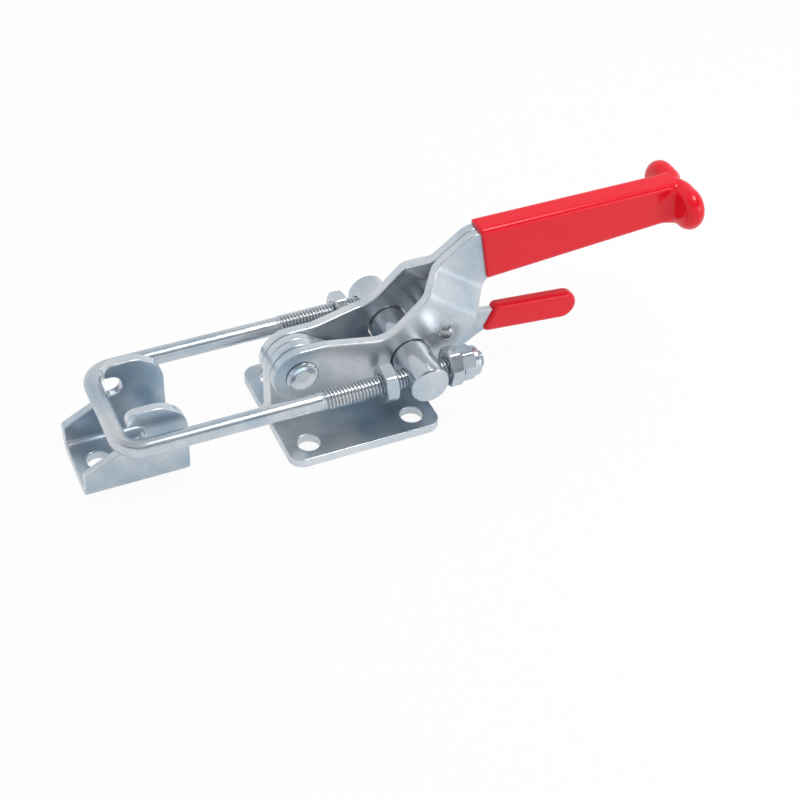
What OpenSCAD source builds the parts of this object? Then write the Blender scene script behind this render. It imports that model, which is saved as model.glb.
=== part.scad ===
// Toggle latch with a threaded U-bolt, a lock lever under the handle, and the latch plate it pulls on
// The origin is the middle of the base's four bolt holes on the mounting plane
// +X runs to the handle's end, -Y is the near side and +Z is up; the latch is drawn closed

/* [Base] */
// Distance between the base's bolt holes along the latch
bolt_gap_x = 44.2; // [40:0.1:48]
// Distance between the base's bolt holes across the latch
bolt_gap_y = 43; // [40:0.5:46]
// Diameter of the bolt holes
bolt_hole = 9; // [6.5:0.1:10]
// Length of the base flanges
flange_length = 64; // [62:0.5:76]
// Width over both base flanges
flange_width = 61; // [59:0.5:72]
// Sheet thickness of the base brackets
base_sheet = 4; // [3:0.1:4.5]
// Corner radius of the flanges
flange_corner = 6; // [2:0.5:8]
// Inner radius of the bracket's bend
base_bend = 3; // [1:0.5:4]
// Height of the handle's pivot above the mounting plane
pivot_height = 27; // [26:0.5:34]
// Distance from the middle of the bolt holes back to the pivot
pivot_offset = 19.6; // [18:0.1:20]
// Radius of the bracket round the pivot
web_round = 12; // [10:0.5:12.5]

/* [Pivot rivet] */
// Diameter of the rivet's shank
rivet_shank = 9; // [7:0.1:10]
// Diameter of the rivet's heads
rivet_head = 13.4; // [12.5:0.1:16]
// Height of the rivet's heads
rivet_head_height = 1.5; // [1.2:0.1:2]

/* [Handle] */
// Sheet thickness of the handle plates
plate_sheet = 4; // [3:0.1:4.2]
// Radius of the plates round the pivot
handle_round = 12; // [11.8:0.1:13]
// Distance from the pivot to the trunnion
arm_reach = 44.2; // [43:0.1:46]
// Half the gap between the plates at the trunnion
spread_half = 9.2; // [8.7:0.1:9.4]
// Rise of the grip's top edge above the pivot
arm_rise = 45; // [43:0.5:49]
// Length of the handle from the trunnion to the middle of its end bar
arm_length = 122.8; // [110:0.5:150]

/* [Handle grip] */
// Thickness of the dipped skin
skin = 2; // [1.5:0.1:2.4]
// Edge radius of the grip
grip_edge = 2.5; // [1:0.1:3]
// Width over the end bar
bar_width = 38.4; // [34:0.2:46]
// Thickness of the end bar
bar_thick = 9; // [8:0.1:10]
// Height of the end bar
bar_height = 17.8; // [15:0.1:18]

/* [U-bolt] */
// Diameter of the plain rod
rod_d = 7.1; // [6.5:0.05:7.5]
// Outer diameter of the thread
thread_d = 7.94; // [7.6:0.01:8]
// Distance between the two legs
leg_gap = 48.8; // [48.4:0.1:52]
// Distance from the trunnion to the crossbar
bolt_reach = 121.3; // [105:0.1:140]
// Length of the thread on each leg
thread_length = 68.7; // [60:0.1:75]
// How far each leg stands past the trunnion's axis
leg_past = 25.3; // [25:0.1:32]
// Radius of the bends at the crossbar, on the rod's centre line
rod_bend = 9; // [7:0.1:9.5]

/* [Trunnion] */
// Diameter of the trunnion
trunnion_d = 16; // [14:0.1:16.4]
// How far the trunnion stands past each leg's axis
trunnion_past = 8.1; // [6:0.1:12]

/* [Nuts] */
// Width of the nuts across flats
nut_flats = 14.3; // [13:0.1:14.5]
// Height of the plain nuts
nut_height = 5.2; // [4.5:0.1:6]
// Gap from the trunnion's axis to the front nuts
front_nut_gap = 12.7; // [9:0.1:20]
// Gap from the trunnion's axis to the rear nuts
rear_nut_gap = 9.9; // [9:0.1:10]
// Width of the lock nuts across flats
lock_nut_flats = 12.7; // [12.6:0.1:14]
// Height of the hexagon on the lock nuts
lock_nut_hex = 5.6; // [5:0.1:6]
// Height of the collar that holds the nylon ring
lock_nut_collar = 2.8; // [2.6:0.1:3.2]

/* [Lock lever] */
// Sheet thickness of the lock lever
lever_sheet = 3; // [2:0.1:3.5]
// Height of the lever's rivet above the pivot
lever_rise = 7.4; // [7:0.1:8]
// Distance from the trunnion to the lever's rivet, along the latch
lever_offset = 15.5; // [15:0.1:16.5]
// Length of the lever from its rivet to the end of its grip
lever_length = 65.4; // [55:0.1:75]
// Thickness of the dipped skin on the lever
lever_skin = 1.5; // [1:0.1:2]
// Diameter of the lever's rivet
lever_rivet_d = 5; // [4:0.1:5.5]
// Wire diameter of the lever's spring
wire_d = 1; // [0.8:0.1:1.2]
// Turns of the lever's spring
spring_turns = 4; // [3:1:5]

/* [Latch plate] */
// Sheet thickness of the latch plate
keeper_sheet = 4; // [3:0.1:4.5]
// Width over the latch plate's walls
keeper_width = 34; // [30:0.5:35]
// Length of the latch plate
keeper_length = 41.6; // [40:0.1:50]
// Outer radius of the latch plate's bends
keeper_bend = 6.5; // [5.5:0.1:7]
// Height of the walls at the latch plate's front end
keeper_front = 12; // [9:0.5:14]
// How far the hooks stand above the crossbar's axis
hook_rise = 10.5; // [9:0.1:12]
// Distance between the latch plate's screw holes
keeper_hole_gap = 23.2; // [20:0.1:25]

/* [Clearances] */
// Play between bracket and handle plate, and under each rivet head
side_play = 0.3; // [0.2:0.05:0.4]
// Radial play of a rivet in its hole
rivet_play = 0.05; // [0.02:0.01:0.1]
// Radial play of the trunnion in the handle plates
trunnion_play = 0.5; // [0.3:0.05:0.6]
// Radial play of the legs in the trunnion
leg_play = 0.2; // [0.1:0.05:0.3]
// Gap between the crossbar and the latch plate's hooks
hook_play = 0.35; // [0.3:0.05:1]

/* [Hidden] */
$fn = 64;

// Steel tints and the vinyl's red
zinc = [0.76, 0.79, 0.82];
bright = [0.86, 0.88, 0.90];
nylon = [0.92, 0.92, 0.88];
red = [0.86, 0.13, 0.19];

// Half gap and outer half width of the handle at the pivot and at the trunnion
pivot_half = base_sheet + side_play;
pivot_outer = pivot_half + plate_sheet;
spread_outer = spread_half + plate_sheet;

// Tilt of the arm between trunnion and grip, and the distances along it where the plates close up
arm_tilt = atan2(4, 3);
close_start = arm_reach * cos(arm_tilt) + 24.7;
close_run = 11;
// Where the three stretches of each plate meet: along the tilted arm, and along the latch
rear_split = close_start - 13;
bar_split = arm_reach + 60;

// Middle of the end bar, and the stretch of handle inside the grip
bar_x = arm_reach + arm_length;
bar_z = arm_rise + skin - bar_height / 2;
grip_start = arm_reach + 32.2;
grip_dip = 0.18;
bar_reach = bar_width / 2 - bar_height / 2;

// Crossbar and U-bolt places along X from the pivot
crossbar_x = arm_reach - bolt_reach;
leg_end = arm_reach + leg_past;
leg_y = leg_gap / 2;

// Lock lever: place of its rivet
lever_x = arm_reach + lever_offset;
lever_half = lever_sheet / 2;
// Web end that the lever's nose catches: height of the catch, its depth and the nose's own height
web_end = arm_reach + 6.8;
catch_top = -13.1;
catch_height = 5.3;
catch_depth = 1.8;
nose_gap = 0.3;
nose_drop = 0.9;
nose_height = 4;

// Extra length of cutting tools past what they cut
over = 1;
// Angle between the points of a rounded outline's arcs
arc_step = 5;

function unit(v) = v / norm(v);

function flat(p) = [p[0], p[1]];

function turned(p, m, a) = m + [[cos(a), -sin(a)], [sin(a), cos(a)]] * (p - m);

// Arc that rounds corner b between neighbours a and c; the third number of b is the radius
function corner(a, b, c) =
    let (
        back = unit(flat(a) - flat(b)),
        ahead = unit(flat(c) - flat(b)),
        half = acos(max(-1, min(1, back * ahead))) / 2,
        bend = 180 - 2 * half,
        side = back[0] * ahead[1] - back[1] * ahead[0] < 0 ? 1 : -1,
        steps = max(1, ceil(bend / arc_step))
    )
    b[2] == 0 || bend < 0.5 ? [flat(b)] :
    let (
        first = flat(b) + back * b[2] / tan(half),
        middle = flat(b) + unit(back + ahead) * b[2] / sin(half)
    )
    [for (i = [0:steps]) turned(first, middle, side * bend * i / steps)];

// Closed outline with its corners rounded
function outline(p) =
    let (n = len(p))
    [for (i = [0:n - 1]) each corner(p[(i + n - 1) % n], p[i], p[(i + 1) % n])];

// Open path with its inner corners rounded
function path(p) =
    let (n = len(p))
    [for (i = [0:n - 1]) each (i == 0 || i == n - 1 ? [flat(p[i])] : corner(p[i - 1], p[i], p[i + 1]))];

function left_of(a, b) = let (u = unit(flat(b) - flat(a))) [-u[1], u[0]];

// Path moved sideways by d, with its corner radii changed to suit
function beside(p, d) =
    let (n = len(p))
    [for (i = [0:n - 1])
        let (
            before = left_of(p[max(i - 1, 0)], p[max(i, 1)]),
            after = left_of(p[min(i, n - 2)], p[min(i + 1, n - 1)]),
            turn = before[0] * after[1] - before[1] * after[0],
            moved = flat(p[i]) + (before + after) * d / (1 + before * after)
        )
        [moved[0], moved[1], p[i][2] - (turn > 0 ? d : -d)]];

function reversed(p) = [for (i = [len(p) - 1:-1:0]) p[i]];

// Strip of sheet seen on its edge: a path thickened by t
function strip(p, t) = concat(path(beside(p, t / 2)), reversed(path(beside(p, -t / 2))));

module at_pivot() translate([-pivot_offset, 0, pivot_height]) children();

// A shape drawn in X and Z, made w thick about Y = 0
module side_slab(w) rotate([90, 0, 0]) linear_extrude(w, center = true) children();

// A rod along Y, w long about Y = 0
module cross_rod(r, w) rotate([90, 0, 0]) cylinder(r = r, h = w, center = true);

module far_side() mirror([0, 1, 0]) children();

// Base

// Point where a straight edge down to (x, z) leaves the circle round the pivot
function tangent_angle(x, z, r) = atan2(z, x) + acos(r / norm([x, z]));

module web_outline() {
    shoulder_x = arm_reach - trunnion_d / 2 - 2;
    shoulder_z = -trunnion_d / 2 - 1;
    lean = tangent_angle(shoulder_x, shoulder_z, web_round);
    difference() {
        union() {
            circle(r = web_round);
            polygon([[-web_round, 0], [web_round * cos(lean), web_round * sin(lean)],
                [shoulder_x, shoulder_z], [web_end, shoulder_z], [web_end, -pivot_height],
                [-web_round, -pivot_height]]);
        }
        translate([web_end - catch_depth, catch_top - catch_height])
            square([catch_depth + over, catch_height]);
    }
}

module flange_outline() {
    half_x = flange_length / 2;
    half_y = flange_width / 2;
    polygon(outline([[-half_x, 0, 0], [half_x, 0, 0], [half_x, half_y, flange_corner],
        [-half_x, half_y, flange_corner]]));
}

// Section of one bracket in Y and Z: upright web, round bend, flat flange
module bracket_section() {
    outer = base_sheet + base_bend;
    top = pivot_height + web_round + over;
    translate([0, outer]) square([base_sheet, top - outer]);
    translate([outer, 0]) square([flange_width / 2 - outer, base_sheet]);
    intersection() {
        translate([outer, outer]) difference() {
            circle(r = outer);
            circle(r = base_bend);
        }
        square(outer);
    }
}

module bracket() difference() {
    intersection() {
        rotate([90, 0, 90]) linear_extrude(flange_length, center = true) bracket_section();
        union() {
            translate([-pivot_offset, 0, pivot_height])
                side_slab(4 * base_sheet) web_outline();
            linear_extrude(base_sheet + base_bend) flange_outline();
        }
    }
    for (x = [-1, 1])
        translate([x * bolt_gap_x / 2, bolt_gap_y / 2, -over])
            cylinder(d = bolt_hole, h = base_sheet + 2 * over);
    at_pivot() cross_rod(rivet_shank / 2, 4 * base_sheet);
}

module base_bracket_near() color(zinc) far_side() bracket();

module base_bracket_far() color(zinc) bracket();

module pivot_rivet() {
    seat = pivot_outer + side_play;
    head_r = rivet_head / 2;
    soft = 0.5 * rivet_head_height;
    dish_r = 0.58 * head_r;
    color(bright) at_pivot() {
        cross_rod(rivet_shank / 2, 2 * seat);
        for (s = [-1, 1]) rotate([-90 * s, 0, 0]) translate([0, 0, seat]) rotate_extrude()
            polygon([[0, 0], [head_r, 0], [head_r, rivet_head_height - soft],
                [head_r - soft, rivet_head_height], [dish_r, rivet_head_height],
                [dish_r - soft, rivet_head_height - soft], [0, rivet_head_height - 1.3 * soft]]);
    }
}

// Handle

// Corners of the handle plate in X and Z from the pivot, each with its radius
module plate_outline() {
    low = -handle_round;
    union() {
        circle(r = handle_round);
        polygon(outline([[0, handle_round, 0], [0, low, 0], [arm_reach + 12.8, low, 10],
            [arm_reach + 38.3, arm_rise - 20.7, 8], [bar_x + bar_thick, bar_z - bar_height / 2 + skin, 0],
            [bar_x + bar_thick, arm_rise, 0], [arm_reach + 28.8, arm_rise, 10],
            [arm_reach + 12.3, arm_rise - 12.7, 25], [arm_reach - 8.7, handle_round, 14]]));
    }
}

// Centre line of a plate seen from above, from the pivot to where it stands flat at the trunnion
function front_line() = [[-handle_round - over, pivot_half + plate_sheet / 2, 0],
    [arm_reach - 34.2, pivot_half + plate_sheet / 2, 12],
    [arm_reach - 14.2, spread_half + plate_sheet / 2, 12],
    [2 * arm_reach, spread_half + plate_sheet / 2, 0]];

// Centre line along the tilted arm, where the plates close up to each other
function rear_line() = [[0, spread_half + plate_sheet / 2, 0],
    [close_start, spread_half + plate_sheet / 2, 6],
    [close_start + close_run, plate_sheet / 2, 6],
    [arm_reach + arm_length, plate_sheet / 2, 0]];

// Centre line at the end of the arm, where the plate turns outwards
function bar_line() = [[0, plate_sheet / 2, 0], [bar_x, plate_sheet / 2, plate_sheet / 2 + 3],
    [bar_x, bar_width / 2 + over, 0]];

// Everything past distance d along the arm's tilt, in X and Z
module past_tilt(d) side_slab(8 * spread_outer) rotate(arm_tilt)
    translate([d, -bar_x]) square([2 * bar_x, 2 * bar_x]);

module past_bar_split() side_slab(8 * spread_outer) translate([bar_split, -bar_x]) square([bar_x, 2 * bar_x]);

module front_sheet() difference() {
    translate([0, 0, -bar_x]) linear_extrude(2 * bar_x) polygon(strip(front_line(), plate_sheet));
    past_tilt(rear_split);
}

module rear_sheet() difference() {
    intersection() {
        rotate([0, -arm_tilt, 0])
            linear_extrude(4 * bar_x, center = true) polygon(strip(rear_line(), plate_sheet));
        past_tilt(rear_split);
    }
    past_bar_split();
}

// Rounded tip of the turned-out end, in Y and Z
module tip_outline(inset) {
    tip_r = bar_height / 2 - inset;
    translate([0, -tip_r]) square([bar_reach, 2 * tip_r]);
    translate([bar_reach, 0]) circle(r = tip_r);
}

module end_sheet() intersection() {
    translate([0, 0, -bar_x]) linear_extrude(3 * bar_x) polygon(strip(bar_line(), plate_sheet));
    past_bar_split();
    union() {
        translate([0, 0, bar_z]) rotate([90, 0, 90]) linear_extrude(2 * bar_x) tip_outline(skin);
        translate([0, -over, -bar_x]) cube([bar_x - 2 * plate_sheet, plate_sheet + 2 * over, 3 * bar_x]);
    }
}

module plate() difference() {
    intersection() {
        union() {
            front_sheet();
            rear_sheet();
            end_sheet();
        }
        side_slab(8 * spread_outer) plate_outline();
    }
    cross_rod(rivet_shank / 2 + rivet_play, 4 * pivot_outer);
    translate([arm_reach, 0, 0]) cross_rod(trunnion_d / 2 + trunnion_play, 4 * spread_outer);
    translate([lever_x, 0, lever_rise]) cross_rod(lever_rivet_d / 2, 4 * spread_outer);
}

module handle_plate_near() color(zinc) at_pivot() far_side() plate();

module handle_plate_far() color(zinc) at_pivot() plate();

// Grip over the two plates: rounded along its top and bottom edges
module grip_section(rise) {
    half_w = plate_sheet + skin;
    polygon(outline([[-half_w, rise, grip_edge], [half_w, rise, grip_edge], [half_w, 0, 0],
        [-half_w, 0, 0]]));
}

module grip_outline() {
    bottom_x = arm_reach + 38.3;
    bottom_z = arm_rise - 20.7;
    end_z = bar_z - bar_height / 2;
    slope = (end_z + skin - bottom_z) / (bar_x + bar_thick - bottom_x);
    start_low = grip_start + grip_dip * (arm_rise - bottom_z);
    polygon([[grip_start - grip_dip * skin, arm_rise + skin], [bar_x, arm_rise + skin], [bar_x, end_z],
        [start_low, bottom_z - skin + slope * (start_low - bottom_x)]]);
}

module grip_bar() {
    half_t = bar_thick / 2;
    core = bar_height / 2 - half_t;
    translate([bar_x, 0, bar_z]) {
        side_slab(2 * bar_reach) {
            square([bar_thick, 2 * core], center = true);
            for (s = [-1, 1]) translate([0, s * core]) circle(r = half_t);
        }
        for (s = [-1, 1]) translate([0, s * bar_reach, 0]) rotate([0, 90, 0]) rotate_extrude() {
            translate([0, -half_t]) square([core, bar_thick]);
            intersection() {
                translate([core, 0]) circle(r = half_t);
                translate([0, -half_t]) square([bar_height, bar_thick]);
            }
        }
    }
}

// Round fillets where the end bar leaves the grip's sides
module grip_fillets() {
    size = 5;
    side = plate_sheet + skin;
    face = bar_x - bar_thick / 2;
    height = bar_height - bar_thick;
    for (s = [-1, 1]) scale([1, s, 1]) translate([face - size, side - over, bar_z - height / 2])
        difference() {
            cube([size + over, size + over, height]);
            translate([0, size + over, -over]) cylinder(r = size, h = height + 2 * over);
        }
}

module handle_grip() color(red) at_pivot() difference() {
    union() {
        intersection() {
            side_slab(4 * plate_sheet + 4 * skin) grip_outline();
            rotate([90, 0, 90]) linear_extrude(2 * bar_x) grip_section(arm_rise + skin);
        }
        grip_bar();
        grip_fillets();
    }
    plate();
    far_side() plate();
}

// U-bolt, trunnion and nuts

module leg(s) translate([0, s * leg_y, 0]) rotate([0, 90, 0]) {
    chamfer = thread_d / 8;
    thread_start = leg_end - thread_length;
    translate([0, 0, crossbar_x + rod_bend])
        cylinder(d = rod_d, h = thread_start - crossbar_x - rod_bend + chamfer);
    translate([0, 0, thread_start])
        cylinder(d1 = rod_d, d2 = thread_d, h = chamfer);
    translate([0, 0, thread_start + chamfer])
        cylinder(d = thread_d, h = thread_length - 2 * chamfer);
    translate([0, 0, leg_end - chamfer])
        cylinder(d1 = thread_d, d2 = thread_d - 2 * chamfer, h = chamfer);
}

module u_bolt() color(bright) at_pivot() {
    translate([crossbar_x, 0, 0]) cross_rod(rod_d / 2, leg_gap - 2 * rod_bend);
    for (s = [-1, 1]) {
        scale([1, s, 1]) translate([crossbar_x + rod_bend, leg_y - rod_bend, 0])
            rotate([0, 0, 90]) rotate_extrude(angle = 90)
                translate([rod_bend, 0]) circle(d = rod_d);
        leg(s);
    }
}

module trunnion() {
    half = leg_y + trunnion_past;
    chamfer = 0.7;
    color(bright) at_pivot() translate([arm_reach, 0, 0]) difference() {
        rotate([90, 0, 0]) rotate_extrude()
            polygon([[0, -half], [trunnion_d / 2 - chamfer, -half], [trunnion_d / 2, chamfer - half],
                [trunnion_d / 2, half - chamfer], [trunnion_d / 2 - chamfer, half], [0, half]]);
        for (s = [-1, 1]) translate([-trunnion_d, s * leg_y, 0]) rotate([0, 90, 0])
            cylinder(r = thread_d / 2 + leg_play, h = 2 * trunnion_d);
    }
}

// Hexagon with its corners turned down at both ends; turn is the angle of one corner
module hex_body(flats, height, turn) {
    corner_r = flats / 2 / cos(30);
    face_r = flats / 2;
    wide_r = corner_r + 0.5;
    slope = 0.6 * (wide_r - face_r);
    intersection() {
        rotate(turn) linear_extrude(height) circle(r = corner_r, $fn = 6);
        rotate_extrude() polygon([[0, 0], [face_r, 0], [wide_r, slope], [wide_r, height - slope],
            [face_r, height], [0, height]]);
    }
}

// Puts a nut on a leg with its back face at x; the nut's own +Y and +Z stay those of the latch
module on_leg(x, s) at_pivot() translate([x, s * leg_y, 0])
    multmatrix([[0, 0, 1, 0], [1, 0, 0, 0], [0, 1, 0, 0], [0, 0, 0, 1]]) children();

module nut_bore(height) translate([0, 0, -over]) cylinder(r = thread_d / 2 + rivet_play, h = height + 2 * over);

module plain_nut(x, s, turn) color(bright) on_leg(x, s) difference() {
    hex_body(nut_flats, nut_height, turn);
    nut_bore(nut_height);
}

rear_nut_x = arm_reach + rear_nut_gap;
lock_nut_x = rear_nut_x + nut_height + 0.1;
ring_r = 5.2;
ring_height = 1.6;
lip = 0.6;

module lock_nut(s) color(bright) on_leg(lock_nut_x, s) difference() {
    collar_r = lock_nut_flats / 2 - 0.3;
    full = lock_nut_hex + lock_nut_collar;
    union() {
        hex_body(lock_nut_flats, lock_nut_hex, 20);
        rotate_extrude() polygon(outline([[0, over, 0], [collar_r, over, 0], [collar_r, full, 1.4], [0, full, 0]]));
    }
    nut_bore(full);
    translate([0, 0, full - lip - ring_height]) cylinder(r = ring_r, h = ring_height);
}

module nylon_ring(s) color(nylon)
    on_leg(lock_nut_x + lock_nut_hex + lock_nut_collar - lip - ring_height, s) difference() {
        cylinder(r = ring_r, h = ring_height);
        nut_bore(ring_height);
    }

module front_nut_near() plain_nut(arm_reach - front_nut_gap - nut_height, -1, 38.5);

module front_nut_far() plain_nut(arm_reach - front_nut_gap - nut_height, 1, 20);

module rear_nut_near() plain_nut(rear_nut_x, -1, 15);

module rear_nut_far() plain_nut(rear_nut_x, 1, 30);

module lock_nut_near() lock_nut(-1);

module lock_nut_far() lock_nut(1);

module nylon_ring_near() nylon_ring(-1);

module nylon_ring_far() nylon_ring(1);

// Lock lever

// Outline of the lever from its own rivet: round about the rivet, hook below, blade to the grip
module lever_outline() {
    nose_x = web_end + nose_gap - lever_x;
    nose_z = catch_top - nose_drop - lever_rise;
    blade_end = lever_length - lever_skin;
    polygon(outline([[-6.4, 6.8, 5.8], [3, 6.8, 5], [8, 3.4, 10],
        [19.6, -2.6, 20], [blade_end, -6.4, 5.4], [blade_end, -17.2, 5.4], [40, -15.7, 30],
        [22.3, -14.9, 6], [12, -21, 8], [4, -26.4, 4], [nose_x, nose_z - nose_height, 1],
        [nose_x, nose_z, 0.6], [-5.2, nose_z + 0.5, 1], [-6.4, -3, 5]]));
}

module lever_blank() difference() {
    side_slab(lever_sheet) lever_outline();
    cross_rod(lever_rivet_d / 2 + rivet_play, 2 * lever_sheet);
}

module at_lever() at_pivot() translate([lever_x, 0, lever_rise]) children();

module lock_lever() color(bright) at_lever() lever_blank();

// Outline of the lever's dipped grip
module lever_grip_outline(inset) {
    front = 25.6 + inset;
    low = -17.5 + inset;
    top = -2.3 - inset;
    polygon(outline([[front, top + 0.9, 0.6], [lever_length - inset, top - 2.6, 6.9 - inset],
        [lever_length - inset, low - 1.4, 6.9 - inset], [front - 3.4, low + 2.8, 0.6]]));
}

module lever_grip() {
    edge = 1.4;
    color(red) at_lever() difference() {
        hull() {
            side_slab(lever_sheet) lever_grip_outline(0);
            side_slab(lever_sheet + 2 * lever_skin) lever_grip_outline(edge);
        }
        side_slab(lever_sheet) lever_outline();
    }
}

module lever_rivet() {
    head_r = 3.7;
    head_rise = 2.2;
    ball_r = (head_r * head_r + head_rise * head_rise) / (2 * head_rise);
    seat = spread_outer;
    color(bright) at_lever() {
        cross_rod(lever_rivet_d / 2, 2 * seat);
        for (s = [-1, 1]) rotate([-90 * s, 0, 0]) intersection() {
            translate([0, 0, seat + head_rise - ball_r]) sphere(r = ball_r);
            translate([0, 0, seat]) cylinder(r = head_r, h = head_rise);
        }
    }
}

spacer_r = 4;

module lever_spacer(s) color(bright) at_lever() rotate([-90 * s, 0, 0])
    translate([0, 0, lever_half + side_play / 2]) difference() {
        height = spread_half - lever_half - side_play / 2;
        cylinder(r = spacer_r, h = height);
        translate([0, 0, -over]) cylinder(r = lever_rivet_d / 2 + rivet_play, h = height + 2 * over);
    }

module lever_spacer_near() lever_spacer(-1);

module lever_spacer_far() lever_spacer(1);

// Coil of the spring round the near spacer, with a leg to the trunnion and one over the lever
coil_r = spacer_r + 0.3 + wire_d / 2;
coil_pitch = wire_d + 0.15;
coil_first = -lever_half - 0.5 - wire_d / 2;
coil_steps = 16;
leg_angle = 102.5;
leg_lift = 22;

function coil_angle(i) = leg_angle + 360 * i / coil_steps;

function coil_count() = coil_steps * spring_turns;

function coil_point(i) = [coil_r * cos(coil_angle(i)), coil_first - coil_pitch * i / coil_steps,
    coil_r * sin(coil_angle(i))];

// The spring's centre line: back leg hooked over the lever, coil, front leg laid on the trunnion
function spring_line() =
    let (
        first = coil_point(0),
        last = coil_point(coil_count()),
        away = [cos(leg_angle - 90 + leg_lift), 0, sin(leg_angle - 90 + leg_lift)],
        ahead = [cos(leg_angle + 90), 0, sin(leg_angle + 90)]
    )
    concat([first + 5 * away + [0, lever_sheet, 0], first + 5 * away, first + 4 * away],
        [for (i = [0:coil_count()]) coil_point(i)],
        [last + 5 * ahead, last + 17.5 * ahead]);

// Tube round a line of points: rings of sides points, joined ring to ring
module wire(points, r, sides) {
    n = len(points);
    rings = [for (i = [0:n - 1])
        let (
            along = unit(points[min(i + 1, n - 1)] - points[max(i - 1, 0)]),
            across = unit(cross(along, abs(along[1]) > 0.7 ? [1, 0, 0] : [0, 1, 0])),
            up = cross(along, across)
        )
        [for (j = [0:sides - 1]) points[i] + r * (cos(360 * j / sides) * across + sin(360 * j / sides) * up)]];
    polyhedron(
        points = [for (ring = rings) each ring],
        faces = concat(
            [for (i = [0:n - 2]) for (j = [0:sides - 1])
                [i * sides + j, i * sides + (j + 1) % sides, (i + 1) * sides + (j + 1) % sides, (i + 1) * sides + j]],
            [[for (j = [sides - 1:-1:0]) j]],
            [[for (j = [0:sides - 1]) (n - 1) * sides + j]]));
}

module lever_spring() color(bright) at_lever() wire(spring_line(), wire_d / 2, 8);

// Latch plate

module keeper_section() {
    half = keeper_width / 2;
    inner = keeper_bend - keeper_sheet;
    top = pivot_height + hook_rise + over;
    difference() {
        polygon(outline([[-half, 0, keeper_bend], [half, 0, keeper_bend], [half, top, 0], [-half, top, 0]]));
        polygon(outline([[keeper_sheet - half, keeper_sheet, inner], [half - keeper_sheet, keeper_sheet, inner],
            [half - keeper_sheet, top + over, 0], [keeper_sheet - half, top + over, 0]]));
    }
}

// Side of the latch plate from the crossbar: sloped front, open notch, round-backed hook
module keeper_outline() {
    front = -14.1;
    back = front + keeper_length;
    top = pivot_height + hook_rise;
    hook_x = rod_d / 2 + hook_play;
    notch_end = hook_x + 6.7;
    notch_half = rod_d / 2 + 0.85;
    notch_low = pivot_height - notch_half;
    notch_high = pivot_height + notch_half;
    jaw_x = front + 1.85 * (notch_low - keeper_front);
    polygon(outline([[front, 0, 0], [back, 0, 2], [back, top, 13], [hook_x, top, 4],
        [hook_x, notch_high, 1], [notch_end, notch_high, notch_half - 0.2],
        [notch_end, notch_low, notch_half - 0.2], [jaw_x, notch_low, 2], [front, keeper_front, 1]]));
}

module latch_plate() {
    hole_x = -14.1 + 9.4;
    color(zinc) translate([crossbar_x - pivot_offset, 0, 0]) difference() {
        intersection() {
            rotate([90, 0, 90]) linear_extrude(4 * keeper_length, center = true) keeper_section();
            side_slab(keeper_width + 2 * over) keeper_outline();
        }
        for (i = [0, 1]) translate([hole_x + i * keeper_hole_gap, 0, -over])
            cylinder(d = bolt_hole, h = keeper_sheet + 2 * over);
    }
}

base_bracket_near();
base_bracket_far();
pivot_rivet();
handle_plate_near();
handle_plate_far();
handle_grip();
lock_lever();
lever_grip();
lever_rivet();
lever_spacer_near();
lever_spacer_far();
lever_spring();
trunnion();
u_bolt();
front_nut_near();
front_nut_far();
rear_nut_near();
rear_nut_far();
lock_nut_near();
lock_nut_far();
nylon_ring_near();
nylon_ring_far();
latch_plate();
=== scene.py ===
"""Looks of a pull-action toggle latch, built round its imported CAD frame.

Every piece is a numpy surface in the latch's own frame: +X runs to the handle's end, -Y is the near
side, +Z is up, and the origin is the middle of the base's four bolt holes. Sizes are in millimetres
until a piece is made, which turns them into metres.
"""

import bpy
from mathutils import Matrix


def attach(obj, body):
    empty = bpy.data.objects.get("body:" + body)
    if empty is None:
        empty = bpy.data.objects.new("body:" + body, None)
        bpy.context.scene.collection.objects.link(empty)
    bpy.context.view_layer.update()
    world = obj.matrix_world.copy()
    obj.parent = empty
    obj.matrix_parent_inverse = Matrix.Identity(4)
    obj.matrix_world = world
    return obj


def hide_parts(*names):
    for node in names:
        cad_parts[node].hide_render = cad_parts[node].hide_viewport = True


bl_info = {
    "name": "Toggle latch",
    "version": (1, 0, 0),
    "blender": (4, 5, 0),
    "location": "3D View > Sidebar > Latch",
    "description": "Builds the sheet parts, threaded U-bolt, nuts, grips and studio of a toggle latch",
    "category": "Object",
}

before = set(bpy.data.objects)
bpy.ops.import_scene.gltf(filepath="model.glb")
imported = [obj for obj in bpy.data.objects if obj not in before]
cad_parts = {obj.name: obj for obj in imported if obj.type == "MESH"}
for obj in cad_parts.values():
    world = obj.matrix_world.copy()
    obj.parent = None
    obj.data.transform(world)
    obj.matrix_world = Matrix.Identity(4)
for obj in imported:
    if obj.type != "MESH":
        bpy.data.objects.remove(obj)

import math

import bmesh
import bpy
import numpy as np
from bpy.props import FloatProperty, FloatVectorProperty, IntProperty, PointerProperty
from mathutils import Matrix, Vector
from mathutils.geometry import delaunay_2d_cdt

MM = 0.001
SIDES = ((-1, "near"), (1, "far"))
ACROSS = (0, 1, 0)

# Places: REACH is from the pivot to the trunnion, RISE from the pivot up to the top edge of the arm
PIVOT = np.array([-19.6, 0.0, 27.0])
REACH = 44.2
RISE = 45.0
TRUNNION = PIVOT + [REACH, 0, 0]
LEVER = PIVOT + [REACH + 15.5, 0, 7.4]
BAR_X = REACH + 122.8
BAR_Z = RISE + 2 - 17.8 / 2
LEG_Y = 24.4
LEG_END = REACH + 25.3
CROSS_X = REACH - 121.3
REAR_NUT_X = REACH + 9.9
LOCK_NUT_X = REAR_NUT_X + 5.3

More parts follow.
